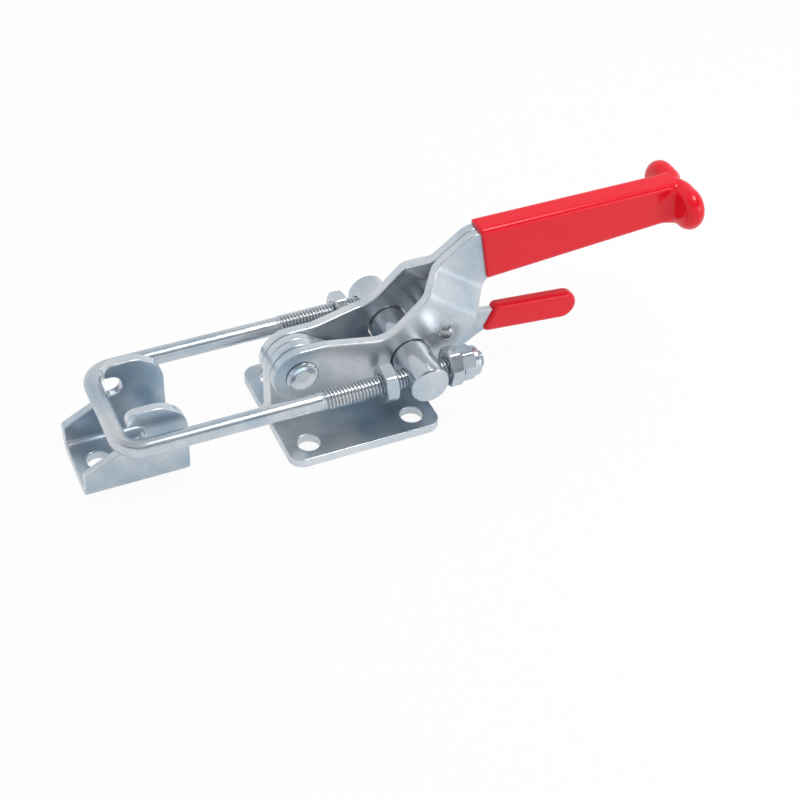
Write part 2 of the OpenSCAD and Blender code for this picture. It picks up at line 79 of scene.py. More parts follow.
# Sheet: thickness, centre radii of bends, height of a bend's centre, half of the latch plate's flat floor,
# radius of the eye round the pivot, screw holes, and how far out the arms stand
SHEET = 4.0
BEND = 5.0
FOLD = SHEET / 2 + BEND
KEEPER_BEND = 4.5
KEEPER_FLAT = 10.5
EYE = 12.0
SCREW_HOLE = 4.5
ARM_Y = 11.2
QUARTER = math.pi / 2

# Nuts: bore, and the lock nut's height, collar, lip and nylon ring (height and outer radius)
BORE = 4.02
LOCK_HEIGHT = 5.6
COLLAR = 2.8
LIP = 0.6
RING_HEIGHT = 1.6
RING_RADIUS = 5.2

# Metallic share of plating, depth of its bumps in metres, and the triangulation that keeps what is enclosed
PLATED = 0.84
FINE_BUMP = 0.00006
ENCLOSED = 1

# Outputs of a surface group, and greys of the studio against height, in front and behind
SURFACE = [("Color", "Color"), ("Roughness", "Float"), ("Height", "Float")]
SKY_FRONT = ((0.0, 0.95), (0.52, 0.85), (0.61, 0.10), (0.72, 0.12), (0.84, 0.60), (1.0, 0.60))
SKY_BACK = ((0.0, 0.95), (0.45, 0.80), (0.78, 0.80), (0.92, 0.40), (1.0, 0.50))
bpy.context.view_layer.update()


# Properties


def length_property(name, description, default, low, high):
    """A length property, in metres."""
    return FloatProperty(name=name, description=description, default=default, min=low, max=high,
                         unit="LENGTH")


def colour_property(name, description, default):
    """A colour property."""
    return FloatVectorProperty(name=name, description=description, default=default, subtype="COLOR", size=3,
                               min=0, max=1)


class LatchSizes(bpy.types.PropertyGroup):
    """Sizes that shape the fine detail of the latch."""

    sheared_edge: length_property(
        "Sheet edge radius", "Rounding along the sheared edges of the plates", 0.00055, 0.0002, 0.001)
    thread_pitch: length_property(
        "Thread pitch", "Distance between two turns of the thread on the legs", 0.001411, 0.0008, 0.002)
    thread_root: length_property(
        "Thread root diameter", "Diameter at the bottom of the thread", 0.0064, 0.0055, 0.0072)
    thread_steps: IntProperty(
        name="Steps a turn", description="Vertices round the rod, and rings along each turn of the thread",
        default=26, min=12, max=30)
    grip_blend: length_property(
        "Grip blend", "How softly the grip flows into its end bar", 0.0055, 0.001, 0.01)
    skin_cell: length_property(
        "Skin cell", "Cell size of the mesh on the dipped grip", 0.0007, 0.0004, 0.002)


class LatchColours(bpy.types.PropertyGroup):
    """Colours of the latch's finishes."""

    zinc: colour_property("Zinc", "Zinc plating of the sheet parts", (0.66, 0.70, 0.73))
    zinc_blue: colour_property("Blue zinc", "Bluer patches in the zinc plating", (0.28, 0.43, 0.57))
    bright: colour_property("Bright steel", "Turned and drawn parts under their plating", (0.70, 0.73, 0.76))
    spring: colour_property("Spring steel", "Wire of the lever's spring", (0.42, 0.43, 0.45))
    vinyl: colour_property("Vinyl", "Dipped red vinyl of both grips", (0.84, 0.008, 0.024))
    nylon: colour_property("Nylon", "Rings in the lock nuts", (0.80, 0.80, 0.74))


# Meshes


def add_object(name, data):
    """A new object in the scene, at the origin."""
    obj = bpy.data.objects.new(name, data)
    bpy.context.scene.collection.objects.link(obj)
    return obj


def make_piece(name, points, faces, body, node, slot, **masks):
    """A mesh object from points in millimetres and faces, with its normals weighted by face area.

    Both masks are point attributes: edge says how far onto a sheared edge each point is, for rubbed wear and
    a painted highlight there; the other says how deep in a thread root each point is, for painted shade
    there."""
    mesh = bpy.data.meshes.new(name)
    mesh.from_pydata((np.asarray(points, float) * MM).tolist(), [], [f.tolist() for f in faces])
    for label, values in masks.items():
        mask = mesh.attributes.new(label, "FLOAT", "POINT")
        mask.data.foreach_set("value", np.asarray(values, np.float32))
    tidy_mesh(mesh)
    obj = add_object(name, mesh)
    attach(obj, body)
    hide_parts(node)
    return obj


def tidy_mesh(mesh):
    """Merges doubles at seams and poles, points faces outwards, and shades with area-weighted normals."""
    bm = bmesh.new()
    bm.from_mesh(mesh)
    bmesh.ops.remove_doubles(bm, verts=bm.verts, dist=2e-7)
    bmesh.ops.dissolve_degenerate(bm, edges=bm.edges, dist=1e-7)
    bmesh.ops.recalc_face_normals(bm, faces=bm.faces)
    if bm.calc_volume(signed=True) < 0:
        bmesh.ops.reverse_faces(bm, faces=bm.faces)
    bm.to_mesh(mesh)
    bm.free()
    mesh.polygons.foreach_set("use_smooth", np.ones(len(mesh.polygons), bool))
    weighted_normals(mesh)


def read_all(items, key, kind, width=1):
    """One property of all items of a mesh, as a flat array."""
    values = np.zeros(len(items) * width, kind)
    items.foreach_get(key, values)
    return values


def weighted_normals(mesh):
    """Vertex normal = sum over its faces of the face normal times the face's area, made unit length."""
    totals = read_all(mesh.polygons, "loop_total", np.int32)
    areas = read_all(mesh.polygons, "area", np.float32)
    normals = read_all(mesh.polygons, "normal", np.float32, 3)
    corners = read_all(mesh.loops, "vertex_index", np.int32)
    owner = np.repeat(np.arange(len(totals)), totals)
    heavy = (normals.reshape(-1, 3) * areas[:, None])[owner]
    out = np.stack([np.bincount(corners, heavy[:, k], len(mesh.vertices)) for k in range(3)], 1)
    length = np.linalg.norm(out, axis=1, keepdims=True)
    mesh.normals_split_custom_set_from_vertices((out / np.maximum(length, 1e-20)).tolist())


def grid_faces(rows, cols, wrap_rows=False, wrap_cols=False):
    """Quads of a grid of rows x cols points, closed along either way where asked."""
    i = np.arange(rows if wrap_rows else rows - 1)[:, None]
    j = np.arange(cols if wrap_cols else cols - 1)[None, :]
    a = i * cols + j
    b = i * cols + (j + 1) % cols
    c = (i + 1) % rows * cols + (j + 1) % cols
    d = (i + 1) % rows * cols + j
    return np.stack([a, b, c, d], -1).reshape(-1, 4)


def rounded(corners, closed=True, step=math.radians(5)):
    """Polyline through corners (x, y, radius), each corner replaced by an arc of its radius.

    The arc of radius r starts r / tan(half angle) before the corner and turns evenly to as far after it."""
    points = [np.array(c[:2], float) for c in corners]
    radii = [c[2] for c in corners]
    count, out = len(points), []
    for i, here in enumerate(points):
        if not closed and i in (0, count - 1) or radii[i] == 0:
            out.append(here)
            continue
        back = points[i - 1] - here
        ahead = points[(i + 1) % count] - here
        back, ahead = back / np.linalg.norm(back), ahead / np.linalg.norm(ahead)
        half = math.acos(np.clip(back @ ahead, -1, 1)) / 2
        bend = math.pi - 2 * half
        if bend < 0.01:
            out.append(here)
            continue
        first = here + back * radii[i] / math.tan(half)
        middle = here + (back + ahead) / np.linalg.norm(back + ahead) * radii[i] / math.sin(half)
        side = 1 if back[0] * ahead[1] - back[1] * ahead[0] < 0 else -1
        turn = side * bend * np.linspace(0, 1, max(2, math.ceil(bend / step) + 1))
        arm = first - middle
        out.extend(middle + np.stack([arm[0] * np.cos(turn) - arm[1] * np.sin(turn),
                                      arm[0] * np.sin(turn) + arm[1] * np.cos(turn)], 1))
    return np.array(out)


def full_turn(count):
    """Evenly spaced angles round a circle."""
    return 2 * math.pi * np.arange(count) / count


def arc_points(x, y, radius, turn):
    """Points of the circle about (x, y) at the angles turn."""
    return np.stack([x + radius * np.cos(turn), y + radius * np.sin(turn)], 1)


def ring_points(count, first, second):
    """Unit circle of count points in the plane of two directions: cos v first + sin v second."""
    turn = full_turn(count)
    return np.cos(turn)[:, None] * first + np.sin(turn)[:, None] * second


def circle(x, y, radius, count=48):
    """Points of a circle, clockwise, as a hole in a sheet."""
    return arc_points(x, y, radius, -full_turn(count))


def subdivided(loop, spacing):
    """Closed loop with every straight stretch cut into parts no longer than spacing."""
    out = []
    for a, b in zip(loop, np.roll(loop, -1, 0)):
        parts = max(1, math.ceil(np.linalg.norm(b - a) / spacing))
        out.append(a + (b - a) * (np.arange(parts) / parts)[:, None])
    return np.concatenate(out)


def outward(loop):
    """Mitred outward direction at each point of a loop that keeps its sheet on the left."""
    ahead = np.roll(loop, -1, 0) - loop
    ahead /= np.maximum(np.linalg.norm(ahead, axis=1, keepdims=True), 1e-12)
    side = np.stack([ahead[:, 1], -ahead[:, 0]], 1)
    before = np.roll(side, 1, 0)
    return (side + before) / np.maximum(1 + (side * before).sum(1, keepdims=True), 0.2)


def inside(points, loops):
    """True for each point from which a ray along X crosses the closed loops an odd number of times."""
    hits = np.zeros(len(points), int)
    for loop in loops:
        a, b = loop, np.roll(loop, -1, 0)
        for part in np.array_split(np.arange(len(points)), max(1, len(points) // 2000)):
            x, y = points[part, 0][:, None], points[part, 1][:, None]
            spans = (a[:, 1] > y) != (b[:, 1] > y)
            rise = np.where(b[:, 1] == a[:, 1], 1, b[:, 1] - a[:, 1])
            cross = a[:, 0] + (y - a[:, 1]) / rise * (b[:, 0] - a[:, 0])
            hits[part] += (spans & (x < cross)).sum(1)
    return hits % 2 == 1


def clear_of(points, others, least):
    """True for each point that lies further than least from all the others."""
    parts = np.array_split(points, max(1, len(points) // 500))
    apart = [((part[:, None] - others[None]) ** 2).sum(2).min(1) > least ** 2 for part in parts]
    return np.concatenate(apart)


def sheet_piece(name, outer, holes, thick, edge, place, cell, body, node, slot, steps=4):
    """Sheet part cut from a flat blank: place(a, b, n) bends blank point (a, b) at height n off mid-sheet.

    The rim is a ring of points for each angle t of its rounding: moved in by edge (1 - sin t) and standing at
    height thick / 2 - edge (1 - cos t). The two faces are the Delaunay triangles of the moved-in outline."""
    loops = [subdivided(loop, cell) for loop in (outer, *holes)]
    normals = [outward(loop) for loop in loops]
    flat_loops = [loop - normal * edge for loop, normal in zip(loops, normals)]
    low, high = flat_loops[0].min(0), flat_loops[0].max(0)
    ax, ay = np.arange(low[0] + cell / 2, high[0], cell), np.arange(low[1] + cell / 2, high[1], cell)
    inner = np.stack(np.meshgrid(ax, ay, indexing="ij"), -1).reshape(-1, 2)
    inner = inner[inside(inner, flat_loops)]
    rim = np.concatenate(flat_loops)
    inner = inner[clear_of(inner, rim, 0.75 * cell)]
    flat_points = np.concatenate([rim, inner])
    starts = np.cumsum([0] + [len(loop) for loop in flat_loops])
    edges = [(s + k, s + (k + 1) % n) for s, n in zip(starts, map(len, flat_loops)) for k in range(n)]
    made = delaunay_2d_cdt([Vector(p) for p in flat_points], edges, [], ENCLOSED, 1e-7)
    if len(made[0]) != len(flat_points):
        raise RuntimeError(f"the blank of {name} crosses itself")
    tri = np.array([o[0] for o in made[3]])[np.array([list(f) for f in made[2]])]
    tri = tri[~inside(flat_points[tri].mean(1), flat_loops[1:])]
    total = len(flat_points)
    points = [place(*flat_points.T, np.full(total, height)) for height in (thick / 2, -thick / 2)]
    faces = [tri, tri[:, ::-1] + total]
    mask = [np.zeros(2 * total)]
    base = 2 * total
    angles = np.linspace(0, math.pi / 2, steps + 1)
    levels = [(edge * (1 - math.sin(t)), thick / 2 - edge * (1 - math.cos(t))) for t in angles]
    levels += [(inset, -height) for inset, height in levels[::-1]]
    # Share of each rim ring on the sheared side, 0 at the faces and 1 mid-edge, which the plating lightens as
    # rubbed wear and a painted highlight.
    worn_and_highlit = np.concatenate([np.sin(angles), np.sin(angles)[::-1]])
    for start, loop, normal in zip(starts, loops, normals):
        count, rings = len(loop), len(levels)
        for (inset, height), wear_and_highlight in zip(levels[1:-1], worn_and_highlit[1:-1]):
            moved = loop - normal * inset
            points.append(place(*moved.T, np.full(count, height)))
            mask.append(np.full(count, wear_and_highlight))
        index = np.empty((rings, count), int)
        index[0] = start + np.arange(count)
        index[1:-1] = base + np.arange((rings - 2) * count).reshape(rings - 2, count)
        index[-1] = total + start + np.arange(count)
        faces.append(index.reshape(-1)[grid_faces(rings, count, wrap_cols=True)])
        base += (rings - 2) * count
    return make_piece(name, np.concatenate(points), [f for part in faces for f in part],
                      body, node, slot, edge=np.concatenate(mask))


def lathe_piece(name, profile, centre, axis, around, body, node, slot):
    """Turned part: profile point (h, r) sweeps the circle centre + h axis + r (cos v side + sin v other)."""
    axis = np.asarray(axis, float)
    side = np.array([0.0, 0.0, 1.0])
    h, r = np.asarray(profile, float).T[:, :, None, None]
    points = centre + h * axis + r * ring_points(around, side, np.cross(axis, side))
    faces = grid_faces(len(h), around, wrap_cols=True)
    return make_piece(name, points.reshape(-1, 3), faces, body, node, slot)


def swept_piece(name, path, radius, groove, body, node, slot):
    """Round bar along a flat path: point (u, v) = path(u) + radius(u, v) (cos v side(u) + sin v up).

    Its quads are cut along the diagonal on which u and v grow together, as the crest of a right-hand
    thread does on the first leg, and along the other one past the middle."""
    along = np.gradient(path, axis=0)
    along /= np.linalg.norm(along, axis=1, keepdims=True)
    side = np.cross((0.0, 0.0, 1.0), along)
    side /= np.linalg.norm(side, axis=1, keepdims=True)
    top = np.cross(along, side)
    rows, cols = radius.shape
    points = path[:, None] + radius[..., None] * ring_points(cols, side[:, None], top[:, None])
    quads = grid_faces(rows, cols, wrap_cols=True)
    first, second = np.split(quads, [len(quads) // 2])
    cuts = ((first, [0, 1, 2]), (first, [0, 2, 3]), (second, [0, 1, 3]), (second, [1, 2, 3]))
    faces = np.concatenate([part[:, corners] for part, corners in cuts])
    # The depth mask darkens the thread roots in the plating as painted shade.
    return make_piece(name, points.reshape(-1, 3), faces, body, node, slot, groove=groove.reshape(-1))


# Skins of the dipped grips


def field_skin(field, low, high, cell):
    """Closed skin where field(points) = 0, from a grid of cells with one vertex in each cell it crosses.

    A vertex starts at the mean of its cell's edge crossings and takes Newton steps p - f(p) g / (g . g)."""
    counts = np.ceil((high - low) / cell).astype(int) + 1
    axes = [low[k] + cell * np.arange(counts[k]) for k in range(3)]
    mesh = np.stack(np.meshgrid(*axes, indexing="ij"), -1)
    value = field(mesh.reshape(-1, 3)).reshape(counts)
    cells = counts - 1
    total = np.zeros((*cells, 3))
    hits = np.zeros(cells)
    crossings = []
    for k in range(3):
        first = [slice(None)] * 3
        second = [slice(None)] * 3
        first[k], second[k] = slice(0, -1), slice(1, None)
        a, b = value[tuple(first)], value[tuple(second)]
        cut = (a < 0) != (b < 0)
        share = np.where(cut, a / np.where(a == b, 1, a - b), 0)
        spot = mesh[tuple(first)].copy()
        spot[..., k] += share * cell
        crossings.append((cut, a < 0))
        others = [m for m in range(3) if m != k]
        for shift in ((0, 0), (0, 1), (1, 0), (1, 1)):
            pick = [slice(None)] * 3
            for m, d in zip(others, shift):
                pick[m] = slice(d, d + cells[m])
            here = cut[tuple(pick)]
            total += np.where(here[..., None], spot[tuple(pick)], 0)
            hits += here
    used = hits > 0
    number = np.full(cells, -1)
    number[used] = np.arange(used.sum())
    points = total[used] / hits[used][:, None]
    small = 0.01
    for _ in range(4):
        now = np.clip(field(points), -0.5, 0.5)[:, None]
        slope = np.stack([field(points + d) - field(points - d) for d in small * np.eye(3)], 1) / (2 * small)
        points = points - now * slope / np.maximum((slope ** 2).sum(1), 0.2)[:, None]
    faces = []
    for k, (cut, inner) in enumerate(crossings):
        i, j = [(1, 2), (2, 0), (0, 1)][k]
        where = np.argwhere(cut)
        within = (where > 0) & (where < cells)
        where = where[within[:, i] & within[:, j]]
        step_i, step_j = np.eye(3, dtype=int)[i], np.eye(3, dtype=int)[j]
        ring = [where - step_i - step_j, where - step_j, where, where - step_i]
        quad = np.stack([number[tuple(r.T)] for r in ring], 1)
        flip = ~inner[tuple(where.T)]
        quad[flip] = quad[flip][:, ::-1]
        faces.append(quad)
    return points, np.concatenate(faces)


def bevelled(dx, dy, radius):
    """Signed distance to two walls that meet in an edge of that radius; dx and dy are signed distances."""
    ax, ay = dx + radius, dy + radius
    return np.hypot(np.maximum(ax, 0), np.maximum(ay, 0)) + np.minimum(np.maximum(ax, ay), 0) - radius


def blended(a, b, reach):
    """Union of two signed distances, filleted: lower by h squared reach / 4 where they are within reach."""
    h = np.maximum(reach - np.abs(a - b), 0) / reach
    return np.minimum(a, b) - h * h * reach / 4


# Materials


def add_node(tree, kind, **values):
    """One shader node with its settings; a value's name may be that of a property or of an input."""
    node = tree.nodes.new(kind)
    for key, value in values.items():
        if hasattr(node, key):
            setattr(node, key, value)
        else:
            node.inputs[key.replace("_", " ")].default_value = value
    return node


def join(tree, *pairs):
    """Links each pair of an output and an input."""
    for source, target in pairs:
        tree.links.new(source, target)


def spread(tree):
    """Lays a tree's nodes out in columns, each one left of the nodes that it feeds."""
    column = {node.name: 0 for node in tree.nodes}
    for _ in tree.nodes:
        for link in tree.links:
            column[link.from_node.name] = max(column[link.from_node.name], column[link.to_node.name] + 1)
    taken = {}
    for node in tree.nodes:
        step = column[node.name]
        taken[step] = taken.get(step, 0) + 1
        node.location = (-240 * step, -320 * taken[step])


def group_of(name, inputs, outputs):
    """Empty shader node group; gives its tree and its sockets in and out, from (name, type, default) rows."""
    tree = bpy.data.node_groups.new(name, "ShaderNodeTree")
    for label, kind, default in inputs:
        socket = tree.interface.new_socket(label, in_out="INPUT", socket_type="NodeSocket" + kind)
        if default is not None:
            socket.default_value = default
    for label, kind in outputs:
        tree.interface.new_socket(label, in_out="OUTPUT", socket_type="NodeSocket" + kind)
    return tree, tree.nodes.new("NodeGroupInput").outputs, tree.nodes.new("NodeGroupOutput").inputs


def math_node(tree, operation, *values, clamp=False):
    """A math node; each value is a number or the socket that feeds it."""
    node = add_node(tree, "ShaderNodeMath", operation=operation, use_clamp=clamp)
    for k, value in enumerate(values):
        if isinstance(value, (int, float)):
            node.inputs[k].default_value = value
        else:
            tree.links.new(value, node.inputs[k])
    return node.outputs[0]


def summed(tree, start, *terms, clamp=False):
    """start plus value x share for each term (value, share); the clamp holds the sum within 0 to 1."""
    for k, (value, share) in enumerate(terms):
        last = k == len(terms) - 1
        start = math_node(tree, "MULTIPLY_ADD", value, share, start, clamp=clamp and last)
    return start


def mix_colour(tree, share, a, b, blend="MIX"):
    """A colour mix node; share, a and b are values or sockets."""
    node = add_node(tree, "ShaderNodeMix", data_type="RGBA", blend_type=blend)
    for key, value in ((0, share), (6, a), (7, b)):
        if isinstance(value, bpy.types.NodeSocket):
            tree.links.new(value, node.inputs[key])
        else:
            node.inputs[key].default_value = value if key == 0 else (*value[:3], 1)
    return node.outputs[2]


def noise(tree, vector, scale, detail=3.0, rough=0.5):
    """Noise texture read at a vector."""
    node = add_node(tree, "ShaderNodeTexNoise", Scale=scale, Detail=detail, Roughness=rough)
    tree.links.new(vector, node.inputs["Vector"])
    return node.outputs["Fac"]


def ramp(tree, value, low, high):
    """Value mapped from low..high to 0..1 and held there."""
    node = add_node(tree, "ShaderNodeMapRange", clamp=True, From_Min=low, From_Max=high)
    tree.links.new(value, node.inputs["Value"])
    return node.outputs["Result"]


def zinc_plating():
    """Zinc plating: cloudy two-tone colour, smudges, fine crystal grain, dark specks, painted shade in the
    thread roots, and rubbed edges brightened partly as a painted highlight.
    """
    tree, put, out = group_of("zinc_plating", [
        ("Vector", "Vector", None), ("Tone", "Color", (0.74, 0.77, 0.8, 1)),
        ("Cloud Tone", "Color", (0.6, 0.68, 0.76, 1)), ("Cloud", "Float", 0.5), ("Rough", "Float", 0.3),
        ("Edge", "Float", 0.0), ("Groove", "Float", 0.0)], SURFACE)
    where = put["Vector"]
    spots = noise(tree, where, 420.0, 4.0, 0.65)
    grain = noise(tree, where, 2600.0, 2.0)
    swell = noise(tree, where, 130.0, 2.0)
    cloud = ramp(tree, noise(tree, where, 36.0), 0.40, 0.66)
    specks = ramp(tree, noise(tree, where, 1100.0, 1.0, 0.4), 0.70, 0.76)
    spotted = ramp(tree, spots, 0.34, 0.68)
    tone = mix_colour(tree, math_node(tree, "MULTIPLY", cloud, put["Cloud"]), put["Tone"], put["Cloud Tone"])
    # Darker for smudges, grain and specks, and, by the thread-root mask, painted shade in the thread roots.
    dark = summed(tree, 1.03, (spotted, -0.07), (ramp(tree, grain, 0.3, 0.7), -0.10), (specks, -0.11),
                  (put["Groove"], -0.34), clamp=True)
    shade = add_node(tree, "ShaderNodeCombineColor")
    join(tree, *((dark, shade.inputs[k]) for k in range(3)))
    tone = mix_colour(tree, 1.0, tone, shade.outputs[0], "MULTIPLY")
    # Sheared edges, patchily: lighter and smoother, partly rubbed wear and partly a painted highlight along
    # the edges.
    worn_and_highlit = math_node(tree, "MULTIPLY", put["Edge"], ramp(tree, swell, 0.15, 0.5), clamp=True)
    tone = mix_colour(tree, math_node(tree, "MULTIPLY", worn_and_highlit, 0.4), tone, (0.92, 0.94, 0.96))
    rough = summed(tree, put["Rough"], (spotted, 0.06), (ramp(tree, swell, 0.3, 0.7), 0.04), (worn_and_highlit, -0.06),
                   clamp=True)
    height = summed(tree, math_node(tree, "MULTIPLY", spots, 0.45), (grain, 0.08), (swell, 1.3))
    join(tree, (tone, out["Color"]), (rough, out["Roughness"]), (height, out["Height"]))
    spread(tree)
    return tree


def drawn_lines():
    """Fine lines of drawn or turned steel: noise at the vector squeezed along the lines' direction."""
    tree, put, out = group_of("drawn_lines", [
        ("Vector", "Vector", None), ("Stretch", "Vector", (1.0, 1.0, 1.0)), ("Fineness", "Float", 900.0)],
        [("Lines", "Float")])
    scaled = add_node(tree, "ShaderNodeVectorMath", operation="MULTIPLY")
    lines = add_node(tree, "ShaderNodeTexNoise", Detail=3.0, Roughness=0.6)
    join(tree, (put["Vector"], scaled.inputs[0]), (put["Stretch"], scaled.inputs[1]),
         (scaled.outputs[0], lines.inputs["Vector"]), (put["Fineness"], lines.inputs["Scale"]),
         (lines.outputs["Fac"], out["Lines"]))
    spread(tree)
    return tree


def dipped_vinyl():
    """Dipped vinyl: slow thick-and-thin swell, faint orange peel, smears in the gloss."""
    tree, put, out = group_of("dipped_vinyl", [
        ("Vector", "Vector", None), ("Tone", "Color", (0.66, 0.01, 0.03, 1)), ("Rough", "Float", 0.22)],
        SURFACE)
    swell = noise(tree, put["Vector"], 38.0, 2.0)
    peel = noise(tree, put["Vector"], 260.0, 2.0)
    smear = noise(tree, put["Vector"], 900.0, 4.0, 0.7)
    deep = mix_colour(tree, ramp(tree, swell, 0.3, 0.7), put["Tone"], (0.74, 0.004, 0.016))
    join(tree, (mix_colour(tree, 0.35, put["Tone"], deep), out["Color"]),
         (summed(tree, put["Rough"], (ramp(tree, smear, 0.35, 0.75), 0.09)), out["Roughness"]),
         (summed(tree, swell, (peel, 0.3)), out["Height"]))
    spread(tree)
    return tree


def place_group(tree, make, vector, **values):
    """A node of the group that make builds, once, under its own name; fed by a vector and its own values."""
    node = add_node(tree, "ShaderNodeGroup")
    node.node_tree = bpy.data.node_groups.get(make.__name__) or make()
    tree.links.new(vector, node.inputs["Vector"])
    for key, value in values.items():
        socket = node.inputs[key.replace("_", " ")]
        if isinstance(value, bpy.types.NodeSocket):
            tree.links.new(value, socket)
        else:
            socket.default_value = (*value, 1) if socket.type == "RGBA" else value
    return node.outputs


def new_material(name, metallic, **settings):
    """Material with settings on its Principled shader; gives it, its tree, the shader and its coordinates."""
    mat = bpy.data.materials.new(name)
    mat.use_nodes = True
    shader = mat.node_tree.nodes["Principled BSDF"]
    shader.inputs["Metallic"].default_value = metallic
    for key, value in settings.items():
        shader.inputs[key.replace("_", " ")].default_value = value
    return mat, mat.node_tree, shader, add_node(mat.node_tree, "ShaderNodeTexCoord").outputs["Object"]


def wired(mat, shader, colour, rough, height=None, strength=0.0, distance=FINE_BUMP):
    """Feeds a material's shader its colour, its roughness and, where there is a height, its normal."""
    tree = mat.node_tree
    join(tree, (colour, shader.inputs["Base Color"]), (rough, shader.inputs["Roughness"]))
    if height is not None:
        bumped = add_node(tree, "ShaderNodeBump", Strength=strength, Distance=distance)
        join(tree, (height, bumped.inputs["Height"]), (bumped.outputs["Normal"], shader.inputs["Normal"]))
    spread(tree)
    return mat


def zinc_material(name, tone, cloud_tone, cloud, rough, bump, lines=None, line_share=0.0, fineness=900.0):
    """Zinc-plated steel from the plating group, with drawn lines over it where asked."""
    mat, tree, shader, where = new_material(name, PLATED)
    # Masks of the sheared edges, lightened as rubbed wear and a painted highlight, and of the thread roots,
    # darkened as painted shade.
    edge, groove = (add_node(tree, "ShaderNodeAttribute", attribute_name=label).outputs["Fac"]
                    for label in ("edge", "groove"))
    plate = place_group(tree, zinc_plating, where, Tone=tone, Cloud_Tone=cloud_tone, Cloud=cloud, Rough=rough,
                        Edge=edge, Groove=groove)
    height, rough = plate["Height"], plate["Roughness"]
    if lines:
        drawn = place_group(tree, drawn_lines, where, Stretch=lines, Fineness=fineness)["Lines"]
        height = summed(tree, height, (drawn, line_share * 6))
        rough = summed(tree, rough, (drawn, line_share * 0.12))
    return wired(mat, shader, plate["Color"], rough, height, bump)


def ring_material(name, tone, cloud_tone, centre, rough):
    """Turned steel: plating with fine rings round the Y axis line through centre, from the distance to it."""
    mat, tree, shader, where = new_material(name, PLATED)
    plate = place_group(tree, zinc_plating, where, Tone=tone, Cloud_Tone=cloud_tone, Cloud=0.5, Rough=rough)
    moved = add_node(tree, "ShaderNodeMapping", Location=(-centre[0] * MM, 0, -centre[2] * MM))
    flat = add_node(tree, "ShaderNodeVectorMath", operation="MULTIPLY")
    flat.inputs[1].default_value = (1, 0, 1)
    far = add_node(tree, "ShaderNodeVectorMath", operation="LENGTH")
    line = add_node(tree, "ShaderNodeTexNoise", noise_dimensions="1D", Scale=2600.0, Detail=3.0)
    join(tree, (where, moved.inputs["Vector"]), (moved.outputs[0], flat.inputs[0]),
         (flat.outputs[0], far.inputs[0]), (far.outputs["Value"], line.inputs["W"]))
    height = summed(tree, plate["Height"], (line.outputs["Fac"], 1.5))
    return wired(mat, shader, plate["Color"], plate["Roughness"], height, 0.22)


def vinyl_material(name, tone):
    """Glossy dipped vinyl."""
    mat, tree, shader, where = new_material(name, 0.0, IOR=1.46, Specular_IOR_Level=0.42)
    skin = place_group(tree, dipped_vinyl, where, Tone=tone, Rough=0.13)
    return wired(mat, shader, skin["Color"], skin["Roughness"], skin["Height"], 0.35, 0.0004)


def nylon_material(name, tone):
    """Natural nylon: milky, faintly mottled, soft highlight."""
    mat, tree, shader, where = new_material(name, 0.0, IOR=1.53)
    cloud = noise(tree, where, 900.0)
    colour = mix_colour(tree, ramp(tree, cloud, 0.3, 0.7), tone, (0.70, 0.70, 0.63))
    return wired(mat, shader, colour, summed(tree, 0.35, (cloud, 0.2)))


def finish(kind):
    """Material of a finish, made the first time it is asked for."""
    tint = bpy.context.scene.latch_colours
    zinc, blue, bright, spring = tint.zinc, tint.zinc_blue, tint.bright, tint.spring
    name, make, *values = {
        "sheet": ("plated_sheet", zinc_material, zinc, blue, 0.7, 0.27, 0.16, (0.12, 1.0, 1.0), 0.3),
        "latch_plate": ("plated_latch_plate", zinc_material, zinc, blue, 1.0, 0.25, 0.16,
                        (1.0, 0.12, 1.0), 0.3),
        "rod": ("plated_rod", zinc_material, bright, blue, 0.6, 0.17, 0.14, (0.06, 1.0, 1.0), 0.4, 1300.0),
        "nut": ("plated_nut", zinc_material, bright, blue, 0.5, 0.18, 0.2, (1.0, 0.3, 0.3), 0.25, 1500.0),
        "spring": ("spring_wire", zinc_material, spring, spring, 0.2, 0.28, 0.15),
        "trunnion": ("turned_trunnion", ring_material, bright, blue, TRUNNION, 0.12),
        "pivot_rivet": ("rivet_pivot", ring_material, bright, blue, PIVOT, 0.14),
        "lever_rivet": ("rivet_lever", ring_material, spring, blue, LEVER, 0.10),
        "vinyl": ("dipped_red", vinyl_material, tint.vinyl),
        "nylon": ("nylon_ring", nylon_material, tint.nylon),
    }[kind]
    return bpy.data.materials.get(name) or make(name, *values)


def dress(obj, kind):
    """Gives an object one finish."""
    obj.data.materials.clear()
    obj.data.materials.append(finish(kind))


# Sheet parts


def sheared():
    """Rounding of sheared edges, in millimetres."""
    return bpy.context.scene.latch_sizes.sheared_edge / MM


def sheet_pair(name, outer, holes, placed, body, node):
    """Near and far copy of a plated sheet part; placed(side) gives the bending of each."""
    for side, word in SIDES:
        sheet = sheet_piece(f"{name}_{word}", outer, holes, SHEET, sheared(), placed(side), 1.5,
                            body, f"{node}_{word}", "zinc_sheet")
        dress(sheet, "sheet")


def handle_outline():
    """Side outline of a handle plate from the pivot, ending in the blank of its turned-out ear."""
    tip = BAR_X - BEND + BEND * QUARTER + 17.2 - FOLD
    low, top = BAR_Z - 6.9, BAR_Z + 6.9
    corners = [[REACH + 12.8, -EYE, 10], [REACH + 38.3, RISE - 20.7, 8], [BAR_X - 2, low, 2],
               [tip, low, 6.88], [tip, top, 6.88], [REACH + 28.8, RISE, 10],
               [REACH + 12.3, RISE - 12.7, 25], [REACH - 8.7, EYE, 14]]
    line = rounded([[0, -EYE, 0], *corners, [0, EYE, 0]], closed=False)
    return np.concatenate([line, arc_points(0, 0, EYE, np.radians(np.arange(95, 270, 5)))])


